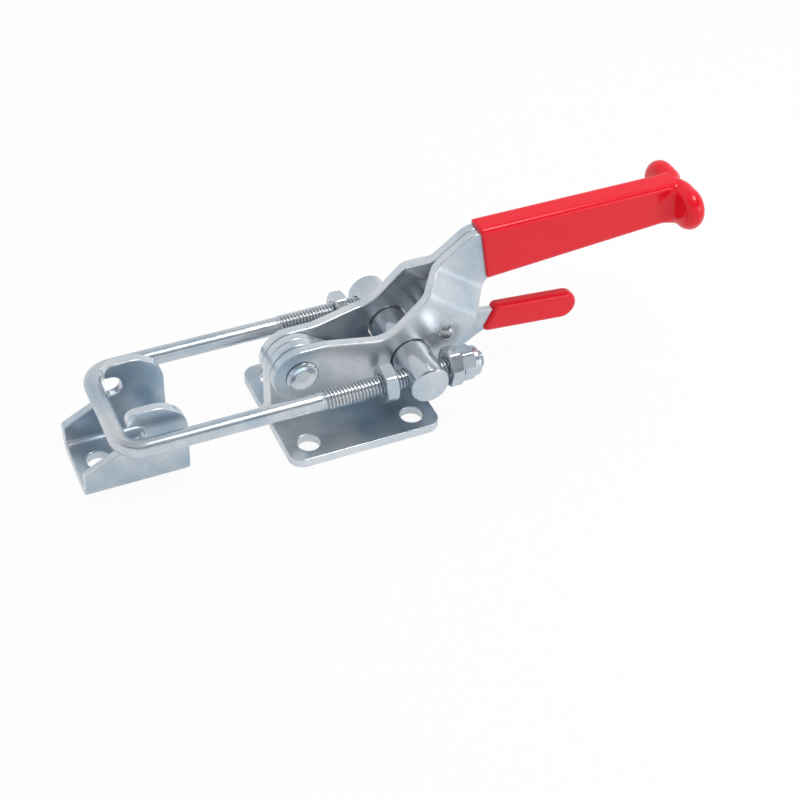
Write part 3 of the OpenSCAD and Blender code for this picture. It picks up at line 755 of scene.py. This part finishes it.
def right_angle(along, n, radius):
    """Reach and rise of a blank point at that distance past the start of a right-angle bend.

    At turn t, reach is (radius - n) sin t and rise is half the sheet + radius - (radius - n) cos t."""
    turn = np.clip(along / radius, 0, QUARTER)
    past = np.maximum(along - radius * QUARTER, 0)
    return (radius - n) * np.sin(turn), SHEET / 2 + radius - (radius - n) * np.cos(turn) + past


def joggle(line, s):
    """Height and slope of a joggled centre line at distance s along it, from its densely rounded path."""
    bent = rounded(line, closed=False, step=math.radians(2))
    tight = np.linspace(bent[0, 0], bent[-1, 0], 1600)
    height = np.interp(tight, bent[:, 0], bent[:, 1])
    return np.interp(s, tight, height), np.interp(s, tight, np.gradient(height, tight))


def place_handle(side):
    """Bends a handle plate: out past the pivot, in again along the tilted arm, and round the ear's bend."""
    tilt = math.atan2(4, 3)
    close = REACH * math.cos(tilt) + 24.7
    front = [[-14, 6.3, 0], [REACH - 34.2, 6.3, 12], [REACH - 14.2, ARM_Y, 12], [2 * REACH, ARM_Y, 0]]
    rear = [[-40, ARM_Y, 0], [close, ARM_Y, 6], [close + 11, SHEET / 2, 6], [200, SHEET / 2, 0]]
    start = BAR_X - BEND

    def place(a, b, n):
        s = a * math.cos(tilt) + b * math.sin(tilt)
        is_rear = s > close - 13
        y, slope = (np.where(is_rear, back, ahead) for ahead, back in zip(joggle(front, a), joggle(rear, s)))
        y = y + n * np.sqrt(1 + slope ** 2)
        reach, ear = right_angle(a - start, n, BEND)
        x = np.where(a > start, start + reach, a)
        return np.stack([x, side * np.where(a > start, ear, y), b], -1) + PIVOT
    return place


def bracket_outline():
    """Blank of a base bracket: along X, and across from the bend's start; flange below, web above."""
    arc = BEND * QUARTER
    up = arc - FOLD
    shoulder = np.array([REACH - 10 + PIVOT[0], 18.0 + up])
    lean = math.atan2(-9, REACH - 10) + math.acos(EYE / math.hypot(REACH - 10, 9))
    cap = arc_points(PIVOT[0], PIVOT[2] + up, EYE, np.linspace(lean, math.pi, 26))
    end = REACH + 6.8 + PIVOT[0]
    catch = [8.6 + up, 13.9 + up]
    right = [[32, -23.5, 6], [32, arc - 0.8, 1], [end, arc - 0.1, 1], [end, catch[0], 0.7],
             [end - 1.8, catch[0], 0.3], [end - 1.8, catch[1], 0.3], [end, catch[1], 0.7],
             [end, shoulder[1], 1.2], [*shoulder, 3]]
    left = [[-31.6, arc - 0.1, 1], [-32, arc - 0.8, 1], [-32, -23.5, 6]]
    loop = rounded([*right, [*cap[0], 0], [*cap[-1], 0], *left])
    first = np.argmin(np.abs(loop - cap[0]).sum(1))
    return np.concatenate([loop[:first], cap, loop[first + 2:]])


def place_bracket(side):
    """Folds a bracket: flange flat, a bend round (FOLD, FOLD), then the web upright."""
    def place(a, b, n):
        reach, rise = right_angle(b, n, BEND)
        return np.stack([a, side * (FOLD - reach - np.minimum(b, 0)), rise], -1)
    return place


def keeper_outline():
    """Blank of the latch plate: along X from the crossbar, and across from the middle of its floor."""
    def wall(z):
        return KEEPER_FLAT + KEEPER_BEND * QUARTER + z - (SHEET / 2 + KEEPER_BEND)
    half = [[-14.1, wall(12), 1.5], [5.5, wall(22.6), 2], [10.6, wall(22.6), 4.2], [10.6, wall(31.4), 4.2],
            [3.9, wall(31.4), 1], [3.9, wall(37.5), 4], [27.5, wall(37.5), 13]]
    near = [[x, -v, r] for x, v, r in half]
    back = [[27.5, -wall(6.0), 0], [27.5, wall(6.0), 0]]
    return rounded([*near, *back, *half[::-1]]) + [CROSS_X + PIVOT[0], 0]


def place_keeper(a, b, n):
    """Folds the latch plate into a channel: its flat floor, two bends, and the upright walls."""
    v = np.abs(b)
    reach, rise = right_angle(v - KEEPER_FLAT, n, KEEPER_BEND)
    return np.stack([a, np.where(b < 0, -1, 1) * (np.minimum(v, KEEPER_FLAT) + reach), rise], -1)


def lever_outline():
    """Outline of the lock lever from its rivet: round about the rivet, hook below, blade into the grip."""
    return rounded([[-6.4, 6.8, 5.8], [-6.4, -3, 5], [-5.2, -20.9, 1], [-8.4, -21.4, 0.6], [-8.4, -25.4, 1],
                    [4, -26.4, 4], [12, -21, 8], [22.3, -14.3, 6], [40, -15.3, 30], [63.4, -16.9, 4.6],
                    [63.4, -7.6, 4.6], [19.6, -3.8, 20], [8, 3.4, 10], [3, 6.8, 5]])


def lever_grip_outline():
    """Outline of the lever's dipped grip from the lever's rivet."""
    return rounded([[21.4, -14.6, 2.3], [65.4, -18.7, 6.3], [65.4, -5.9, 6.3], [27.2, -2.4, 2.3]])


def place_lever(a, b, n):
    """Stands the lever's flat blank upright about its rivet."""
    return np.stack([a, n, b], -1) + LEVER


def grip_field(points):
    """Distance to the handle grip: a tapered slab over the plates, blended with a stadium-shaped end bar."""
    x, y, z = (points - PIVOT).T
    low = RISE - 20.7
    slope = (31.2 - low) / (BAR_X + 9 - (REACH + 38.3))
    under = (low - 2 + slope * (x - REACH - 38.3) - z) / math.hypot(1, slope)
    over = z - (RISE + 2)
    lean = (REACH + 32.2 + 0.18 * (RISE - z) - x) / math.hypot(1, 0.18)
    slab = bevelled(np.abs(y) - 5.4, np.maximum(over, under), 2.4)
    slab = bevelled(bevelled(slab, lean, 0.8), x - BAR_X + 2, 1.0)
    middle = BAR_X - 0.05 - 2.4 * (1 - np.clip(np.abs(y) / 5.5, 0, 1)) ** 2
    run = np.maximum(np.abs(y) - (19.2 - 8.9), 0)
    disc = np.hypot(run, z - BAR_Z) - 4.4
    bar = np.hypot(np.maximum(disc, 0), x - middle) - 4.5
    reach = bpy.context.scene.latch_sizes.grip_blend / MM * np.clip(-over / 6, 0.05, 1)
    return np.maximum(blended(slab, bar, reach), over)


# Turned parts, rod and nuts


def mirrored(half):
    """Turned profile from one half of it: the half, then its mirror image about the middle, run backwards."""
    return np.concatenate([half, half[::-1] * [-1, 1]])


def pivot_profile():
    """Half profile of the pivot rivet: a dished head on a shank of radius 4.5."""
    return rounded([[8.8, 0, 0], [8.8, 3.0, 2.0], [9.65, 5.5, 0.5], [9.55, 6.1, 0.3], [8.9, 6.7, 0.3],
                    [8.6, 6.7, 0.1], [8.6, 4.5, 0]], closed=False, step=math.radians(8))


def lever_rivet_profile():
    """Half profile of the lever's rivet: a dome of radius (head squared + rise squared) / (2 rise)."""
    seat, rise, head = 13.2, 2.2, 3.7
    ball = (head ** 2 + rise ** 2) / (2 * rise)
    t = np.linspace(0, math.asin((head - 0.05) / ball), 14)
    dome = np.stack([seat + rise - ball * (1 - np.cos(t)), ball * np.sin(t)], 1)
    return np.concatenate([dome, [[seat + 0.06, head], [seat, head - 0.05], [seat, 2.5]]])


def trunnion_profile():
    """Half profile of the trunnion: a barrel of radius 8 with a chamfered end."""
    end = rounded([[32.5, 0, 0], [32.5, 7.3, 0.25], [31.8, 8, 0.35], [0, 8, 0]], closed=False,
                  step=math.radians(9))
    return np.concatenate([end[:-1], [[31.0, 8], [29.2, 8], [19.6, 8]]])


def thread_radius(u, turn, pitch, root, crest):
    """Radius of a right-hand thread: the saw u / pitch - turn / 2 pi, cut flat at root and crest."""
    phase = (u / pitch - turn / (2 * math.pi)) % 1
    return root + (crest - root) * np.clip((0.5 - np.abs(phase - 0.5)) * 3.4 - 0.35, 0, 1)


def u_bolt_piece():
    """U-bolt: a 7.1 rod bent twice, with a rolled right-hand thread of 7.94 on each leg."""
    sizes = bpy.context.scene.latch_sizes
    pitch, root, steps = sizes.thread_pitch / MM, sizes.thread_root / MM / 2, sizes.thread_steps
    rod, crest, bend, threaded, chamfer = 3.55, 3.97, 9.0, 68.7, 0.9
    straight = LEG_END - (CROSS_X + bend)
    fine = np.arange(0, threaded + 3 * pitch, pitch / steps)
    run = np.concatenate([[0, 0], fine[1:], np.arange(fine[-1] + 3, straight, 4)])
    arc = np.radians(np.arange(0, 91, 4.5))
    leg = np.stack([LEG_END - run, np.full(len(run), -LEG_Y)], 1)
    elbow = np.stack([CROSS_X + bend - bend * np.sin(arc), -LEG_Y + bend - bend * np.cos(arc)], 1)
    half = np.concatenate([leg, elbow, [[CROSS_X, -10], [CROSS_X, -5]]])
    path = np.concatenate([half, [[CROSS_X, 0]], half[::-1] * [1, -1]])
    path = np.concatenate([path, np.zeros((len(path), 1))], 1)
    along = np.concatenate([[0], np.cumsum(np.linalg.norm(np.diff(path, axis=0), axis=1))])
    from_end = np.minimum(along, along[-1] - along)
    legs = np.where(along < along[-1] / 2, 1, -1)[:, None]
    worm = thread_radius(legs * from_end[:, None], full_turn(steps)[None, :], pitch, root, crest)
    fade = np.clip((threaded - from_end) / (2 * pitch), 0, 1)[:, None]
    radius = np.minimum(rod + (worm - rod) * fade, (crest - chamfer + from_end)[:, None])
    radius[[0, -1]] = 0
    path[[0, -1], 0] += 1e-4
    # Depth into the thread, 0 at the crest and 1 at the root, faded out past the thread; the plating darkens
    # the roots by it as painted shade.
    groove = fade * np.clip((crest - radius) / (crest - root), 0, 1)
    return swept_piece("u_bolt_rod", path + PIVOT, radius, groove, "u_bolt", "u_bolt", "zinc_rod")


def nut_radius(turn, flats, corner):
    """Radius of a hexagon at angle turn, softly cut off where its corners pass their radius less corner."""
    local = (turn + math.pi / 6) % (math.pi / 3) - math.pi / 6
    wall = flats / 2 / np.cos(local)
    most = flats / 2 / math.cos(math.pi / 6) - corner
    return -np.log(np.exp(-wall * 9) + np.exp(-np.full_like(wall, most) * 9)) / 9


def nut_piece(name, x, side, flats, height, spin, node, collar=0.0):
    """Nut: at each angle and level, its radius is the lesser of the hexagon's and the chamfer cone's."""
    around = 180
    turn = full_turn(around)
    face = flats / 2 - 0.25
    up = np.concatenate([np.linspace(0, 0.25, 3), np.linspace(0.35, 1.9, 12)])
    levels = np.concatenate([up, [height / 2], (height - up)[::-1]])
    cone = face + 0.15 + np.minimum(levels, height - levels) * 1.73
    hexed = np.minimum(nut_radius(turn - math.radians(spin), flats, 0.25)[None, :], cone[:, None])
    lower = [(0.45, BORE), (0.12, BORE + 0.35), (0.02, BORE + 0.5), (0.0, BORE + 0.6), (0.0, face - 0.15),
             (0.02, face)]
    upper = [(height - h, r) for h, r in lower[::-1]]
    if collar:
        top, wall, curve = height + collar, flats / 2 - 0.3, np.radians(np.linspace(0, 90, 8))
        upper = [(height, face - 0.1), (height + 0.02, wall + 0.12), (height + 0.12, wall)]
        upper += [(top - 1.4 + 1.4 * math.sin(t), wall - 1.4 + 1.4 * math.cos(t)) for t in curve]
        upper += [(top - 0.08, 4.55), (top - 0.25, 4.4), (top - LIP, 4.4), (top - LIP, RING_RADIUS),
                  (top - LIP - RING_HEIGHT, RING_RADIUS), (top - LIP - RING_HEIGHT, BORE)]
    below, above = np.array(lower), np.array(upper)
    h = np.concatenate([below[:, 0], levels[1:-1], above[:, 0]])[:, None]
    r = np.concatenate([np.repeat(below[:, 1:], around, 1), hexed[1:-1], np.repeat(above[:, 1:], around, 1)])
    y, z = side * LEG_Y + r * np.cos(turn), r * np.sin(turn)
    points = np.stack([np.broadcast_to(x + h, r.shape), y, z], -1)
    faces = grid_faces(len(h), around, wrap_rows=True, wrap_cols=True)
    dress(make_piece(name, (points + PIVOT).reshape(-1, 3), faces, "u_bolt", node, "zinc_nut"), "nut")


def cut_round(obj, centre, radius, half):
    """Bores a round hole along X through a piece."""
    count = 64
    ring = radius * ring_points(count, np.array([0, 1, 0]), np.array([0, 0, 1]))
    points = np.concatenate([ring + [-half, 0, 0], ring + [half, 0, 0]]) + centre
    caps = [list(range(count))[::-1], list(range(count, 2 * count))]
    mesh = bpy.data.meshes.new("bore")
    mesh.from_pydata((points * MM).tolist(), [], grid_faces(2, count, wrap_cols=True).tolist() + caps)
    tool = add_object("bore", mesh)
    modifier = obj.modifiers.new("bore", "BOOLEAN")
    modifier.operation, modifier.object, modifier.solver = "DIFFERENCE", tool, "EXACT"
    cut = bpy.data.meshes.new_from_object(obj.evaluated_get(bpy.context.evaluated_depsgraph_get()))
    obj.modifiers.remove(modifier)
    old, obj.data = obj.data, cut
    bpy.data.meshes.remove(old)
    bpy.data.objects.remove(tool)
    bpy.data.meshes.remove(mesh)


def sharpen(obj):
    """Shades a piece smooth, apart from its edges over 30 degrees."""
    obj.data.polygons.foreach_set("use_smooth", np.ones(len(obj.data.polygons), bool))
    obj.data.set_sharp_from_angle(angle=math.radians(30))


# Studio


def make_floor():
    """Square floor in the mounting plane, white to the camera with a faint shadow."""
    half, low = 3.0, -0.0002
    mesh = bpy.data.meshes.new("floor")
    corners = [(x * half, y * half, low) for x, y in ((-1, -1), (1, -1), (1, 1), (-1, 1))]
    mesh.from_pydata(corners, [], [(0, 1, 2, 3)])
    mat = bpy.data.materials.new("pale_floor")
    mat.use_nodes = True
    tree = mat.node_tree
    tree.nodes.clear()
    matte = add_node(tree, "ShaderNodeBsdfDiffuse", Color=(0.86, 0.86, 0.87, 1))
    glow = add_node(tree, "ShaderNodeEmission", Color=(1, 1, 1, 1), Strength=1.0)
    ray = add_node(tree, "ShaderNodeLightPath").outputs
    seen = math_node(tree, "MAXIMUM", ray["Is Camera Ray"], ray["Is Transmission Ray"])
    seen = math_node(tree, "MAXIMUM", seen, math_node(tree, "MULTIPLY", ray["Is Glossy Ray"], 0.66))
    mix = add_node(tree, "ShaderNodeMixShader")
    out = add_node(tree, "ShaderNodeOutputMaterial")
    join(tree, (math_node(tree, "MULTIPLY", seen, 0.94), mix.inputs[0]), (matte.outputs[0], mix.inputs[1]),
         (glow.outputs[0], mix.inputs[2]), (mix.outputs[0], out.inputs["Surface"]))
    spread(tree)
    mesh.materials.append(mat)
    return add_object("floor", mesh)


def grey_band(tree, height, stops):
    """Grey over height, from (height, grey) stops."""
    band = add_node(tree, "ShaderNodeValToRGB")
    tree.links.new(height, band.inputs["Fac"])
    elements = band.color_ramp.elements
    elements[0].position, elements[1].position = stops[0][0], stops[-1][0]
    for at, _ in stops[1:-1]:
        elements.new(at)
    for element, (_, grey) in zip(elements, stops):
        element.color = (grey * 0.96, grey * 0.98, grey, 1)
    return band.outputs["Color"]


def studio_world(scene):
    """Plain studio: white walls under a dark ceiling, which comes down lower in front than at the back."""
    scene.world = bpy.data.worlds.new("studio")
    scene.world.use_nodes = True
    tree = scene.world.node_tree
    tree.nodes.clear()
    where = add_node(tree, "ShaderNodeTexCoord").outputs["Generated"]
    split = add_node(tree, "ShaderNodeSeparateXYZ")
    front, rear = (grey_band(tree, split.outputs["Z"], stops) for stops in (SKY_FRONT, SKY_BACK))
    tone = mix_colour(tree, ramp(tree, split.outputs["Y"], 0.35, -0.25), rear, front)
    light = add_node(tree, "ShaderNodeBackground", Strength=1.0)
    out = add_node(tree, "ShaderNodeOutputWorld")
    join(tree, (where, split.inputs[0]), (tone, light.inputs["Color"]),
         (light.outputs[0], out.inputs["Surface"]))
    spread(tree)


def soft_box(name, energy, size, place, aim):
    """Square area lamp at a place, aimed at a point."""
    lamp = bpy.data.lights.new(name, "AREA")
    lamp.energy, lamp.shape, lamp.size = energy, "SQUARE", size
    obj = add_object(name, lamp)
    obj.location = place
    obj.rotation_euler = (Vector(aim) - Vector(place)).to_track_quat("-Z", "Y").to_euler()


def studio_camera(scene):
    """Camera at the photographed angle: azimuth -23.66, elevation 40.17 and a roll of 1.26 degrees."""
    azimuth, elevation, roll = map(math.radians, (-23.66, 40.17, 1.26))
    flat = math.cos(elevation)
    back = Vector((math.sin(azimuth) * flat, -math.cos(azimuth) * flat, math.sin(elevation)))
    right = Vector((math.cos(azimuth), math.sin(azimuth), 0))
    up = back.cross(right)
    spot = Vector((0.0054, 0, 0.025)) + back * 0.65807
    lens = bpy.data.cameras.new("camera")
    lens.sensor_width = 36
    lens.lens = 1650.32 / 800 * 36
    lens.shift_x = (400 - 352.99) / 800
    lens.shift_y = (351.99 - 400) / 800
    lens.clip_start, lens.clip_end = 0.01, 20
    camera = add_object("camera", lens)
    turned = (right * math.cos(roll) + up * math.sin(roll), up * math.cos(roll) - right * math.sin(roll))
    camera.matrix_world = Matrix([(*axis, 0) for axis in (*turned, back)] + [(*spot, 1)]).transposed()
    scene.camera = camera


# Operators


class LATCH_OT_stage(bpy.types.Operator):
    """Set up the pale floor, the soft studio light and the camera"""

    bl_idname = "latch.stage"
    bl_label = "Stage"

    def execute(self, context):
        context.scene.view_settings.view_transform = "Standard"
        floor = make_floor()
        studio_world(context.scene)
        soft_box("key_softbox", 3.4, 0.3, (0.30, -0.10, 0.85), (0.0, 0.0, 0.02))
        soft_box("fill_softbox", 0.7, 0.35, (0.60, -0.60, 0.25), (0.03, 0.0, 0.02))
        studio_camera(context.scene)
        return {"FINISHED"}


class LATCH_OT_base(bpy.types.Operator):
    """Build the two riveted base brackets"""

    bl_idname = "latch.base"
    bl_label = "Base brackets"

    def execute(self, context):
        holes = [circle(x, -14.5, SCREW_HOLE, 56) for x in (-22.1, 22.1)]
        holes.append(circle(PIVOT[0], PIVOT[2] + BEND * QUARTER - FOLD, 4.5, 40))
        sheet_pair("base_sheet", bracket_outline(), holes, place_bracket, "base", "base_bracket")
        return {"FINISHED"}


class LATCH_OT_latch_plate(bpy.types.Operator):
    """Build the hooked latch plate"""

    bl_idname = "latch.latch_plate"
    bl_label = "Latch plate"

    def execute(self, context):
        first = CROSS_X + PIVOT[0] - 4.7
        holes = [circle(x, 0, SCREW_HOLE, 56) for x in (first, first + 23.2)]
        sheet = sheet_piece("keeper_sheet", keeper_outline(), holes, SHEET, sheared(), place_keeper, 1.2,
                            "base", "latch_plate", "zinc_blue")
        dress(sheet, "latch_plate")
        return {"FINISHED"}


class LATCH_OT_handle_plates(bpy.types.Operator):
    """Build the two joggled handle plates"""

    bl_idname = "latch.handle_plates"
    bl_label = "Handle plates"

    def execute(self, context):
        holes = [circle(0, 0, 4.55), circle(REACH, 0, 8.5, 72), circle(REACH + 15.5, 7.4, 2.5, 32)]
        sheet_pair("handle_sheet", handle_outline(), holes, place_handle, "handle", "handle_plate")
        return {"FINISHED"}


class LATCH_OT_handle_grip(bpy.types.Operator):
    """Build the dipped grip with its end bar"""

    bl_idname = "latch.handle_grip"
    bl_label = "Handle grip"

    def execute(self, context):
        low, high = PIVOT + [REACH + 29, -21, RISE - 27], PIVOT + [BAR_X + 6.5, 21, RISE + 4]
        points, faces = field_skin(grip_field, low, high, context.scene.latch_sizes.skin_cell / MM)
        dress(make_piece("grip_skin", points, faces, "handle", "handle_grip", "red_vinyl"), "vinyl")
        return {"FINISHED"}


class LATCH_OT_lock_lever(bpy.types.Operator):
    """Build the lock lever and its dipped grip"""

    bl_idname = "latch.lock_lever"
    bl_label = "Lock lever"

    def execute(self, context):
        eye = circle(0, 0, 2.55, 32)
        blade = sheet_piece("lever_sheet", lever_outline(), [eye], 3.0, 0.4, place_lever, 1.5,
                            "lock_lever", "lock_lever", "zinc_sheet")
        dress(blade, "sheet")
        grip = sheet_piece("lever_skin", lever_grip_outline(), [], 6.0, 2.1, place_lever, 1.0,
                           "lock_lever", "lever_grip", "red_vinyl", steps=7)
        dress(grip, "vinyl")
        return {"FINISHED"}


class LATCH_OT_rivets(bpy.types.Operator):
    """Build the pivot rivet, the lever rivet and the trunnion"""

    bl_idname = "latch.rivets"
    bl_label = "Rivets and trunnion"

    def execute(self, context):
        pivot = lathe_piece("rivet_pivot_turned", mirrored(pivot_profile()), PIVOT, ACROSS, 96,
                            "base", "pivot_rivet", "rivet_steel")
        dress(pivot, "pivot_rivet")
        lever = lathe_piece("rivet_lever_turned", mirrored(lever_rivet_profile()), LEVER, ACROSS, 64,
                            "handle", "lever_rivet", "rivet_steel")
        dress(lever, "lever_rivet")
        barrel = lathe_piece("trunnion_turned", mirrored(trunnion_profile()), TRUNNION, ACROSS, 128,
                             "u_bolt", "trunnion", "zinc_rod")
        for side in (-1, 1):
            cut_round(barrel, TRUNNION + [0, side * LEG_Y, 0], 4.17, 12)
        sharpen(barrel)
        dress(barrel, "trunnion")
        return {"FINISHED"}


class LATCH_OT_u_bolt(bpy.types.Operator):
    """Build the threaded U-bolt"""

    bl_idname = "latch.u_bolt"
    bl_label = "U-bolt"

    def execute(self, context):
        dress(u_bolt_piece(), "rod")
        return {"FINISHED"}


class LATCH_OT_nuts(bpy.types.Operator):
    """Build the six nuts and the two nylon rings"""

    bl_idname = "latch.nuts"
    bl_label = "Nuts"

    def execute(self, context):
        plain = (("front", REACH - 12.7 - 5.2, (38.5, 20)), ("rear", REAR_NUT_X, (15, 30)))
        for place, x, spins in plain:
            for (side, word), spin in zip(SIDES, spins):
                nut_piece(f"{place}_nut_{word[0]}", x, side, 14.3, 5.2, spin, f"{place}_nut_{word}")
        start = LOCK_HEIGHT + COLLAR - LIP - RING_HEIGHT
        ring = [[0, BORE], [0, RING_RADIUS], [RING_HEIGHT, RING_RADIUS], [RING_HEIGHT, 4.25], [1.45, BORE],
                [0, BORE]]
        for side, word in SIDES:
            nut_piece(f"lock_nut_{word[0]}", LOCK_NUT_X, side, 12.7, LOCK_HEIGHT, 20, f"lock_nut_{word}",
                      COLLAR)
            centre = PIVOT + [LOCK_NUT_X + start, side * LEG_Y, 0]
            obj = lathe_piece(f"nylon_{word}", ring, centre, (1, 0, 0), 64,
                              "u_bolt", f"nylon_ring_{word}", "nylon")
            sharpen(obj)
            dress(obj, "nylon")
        return {"FINISHED"}


class LATCH_OT_small_parts(bpy.types.Operator):
    """Finish the spacers and the spring, which keep their CAD shapes"""

    bl_idname = "latch.small_parts"
    bl_label = "Spacers and spring"

    def execute(self, context):
        kinds = {"lever_spacer_near": "rod", "lever_spacer_far": "rod", "lever_spring": "spring"}
        for name, kind in kinds.items():
            dress(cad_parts[name], kind)
        return {"FINISHED"}


class LATCH_PT_panel(bpy.types.Panel):
    """Lists the latch's pieces and its settings."""

    bl_idname = "LATCH_PT_panel"
    bl_label = "Toggle latch"
    bl_space_type = "VIEW_3D"
    bl_region_type = "UI"
    bl_category = "Latch"

    def draw(self, context):
        layout = self.layout
        for group in (context.scene.latch_sizes, context.scene.latch_colours):
            box = layout.box()
            for key in group.__annotations__:
                box.prop(group, key)
        for operator in OPERATORS:
            layout.operator(operator.bl_idname)


OPERATORS = (LATCH_OT_stage, LATCH_OT_base, LATCH_OT_latch_plate, LATCH_OT_handle_plates,
             LATCH_OT_handle_grip, LATCH_OT_lock_lever, LATCH_OT_rivets, LATCH_OT_u_bolt, LATCH_OT_nuts,
             LATCH_OT_small_parts)
CLASSES = (LatchSizes, LatchColours, *OPERATORS, LATCH_PT_panel)


def register():
    for each in CLASSES:
        bpy.utils.register_class(each)
    bpy.types.Scene.latch_sizes = PointerProperty(type=LatchSizes)
    bpy.types.Scene.latch_colours = PointerProperty(type=LatchColours)


def unregister():
    del bpy.types.Scene.latch_colours
    del bpy.types.Scene.latch_sizes
    for each in reversed(CLASSES):
        bpy.utils.unregister_class(each)


def main():
    """Builds every piece in order."""
    register()
    for operator in OPERATORS:
        group, name = operator.bl_idname.split(".")
        getattr(getattr(bpy.ops, group), name)()


if __name__ == "__main__":
    main()
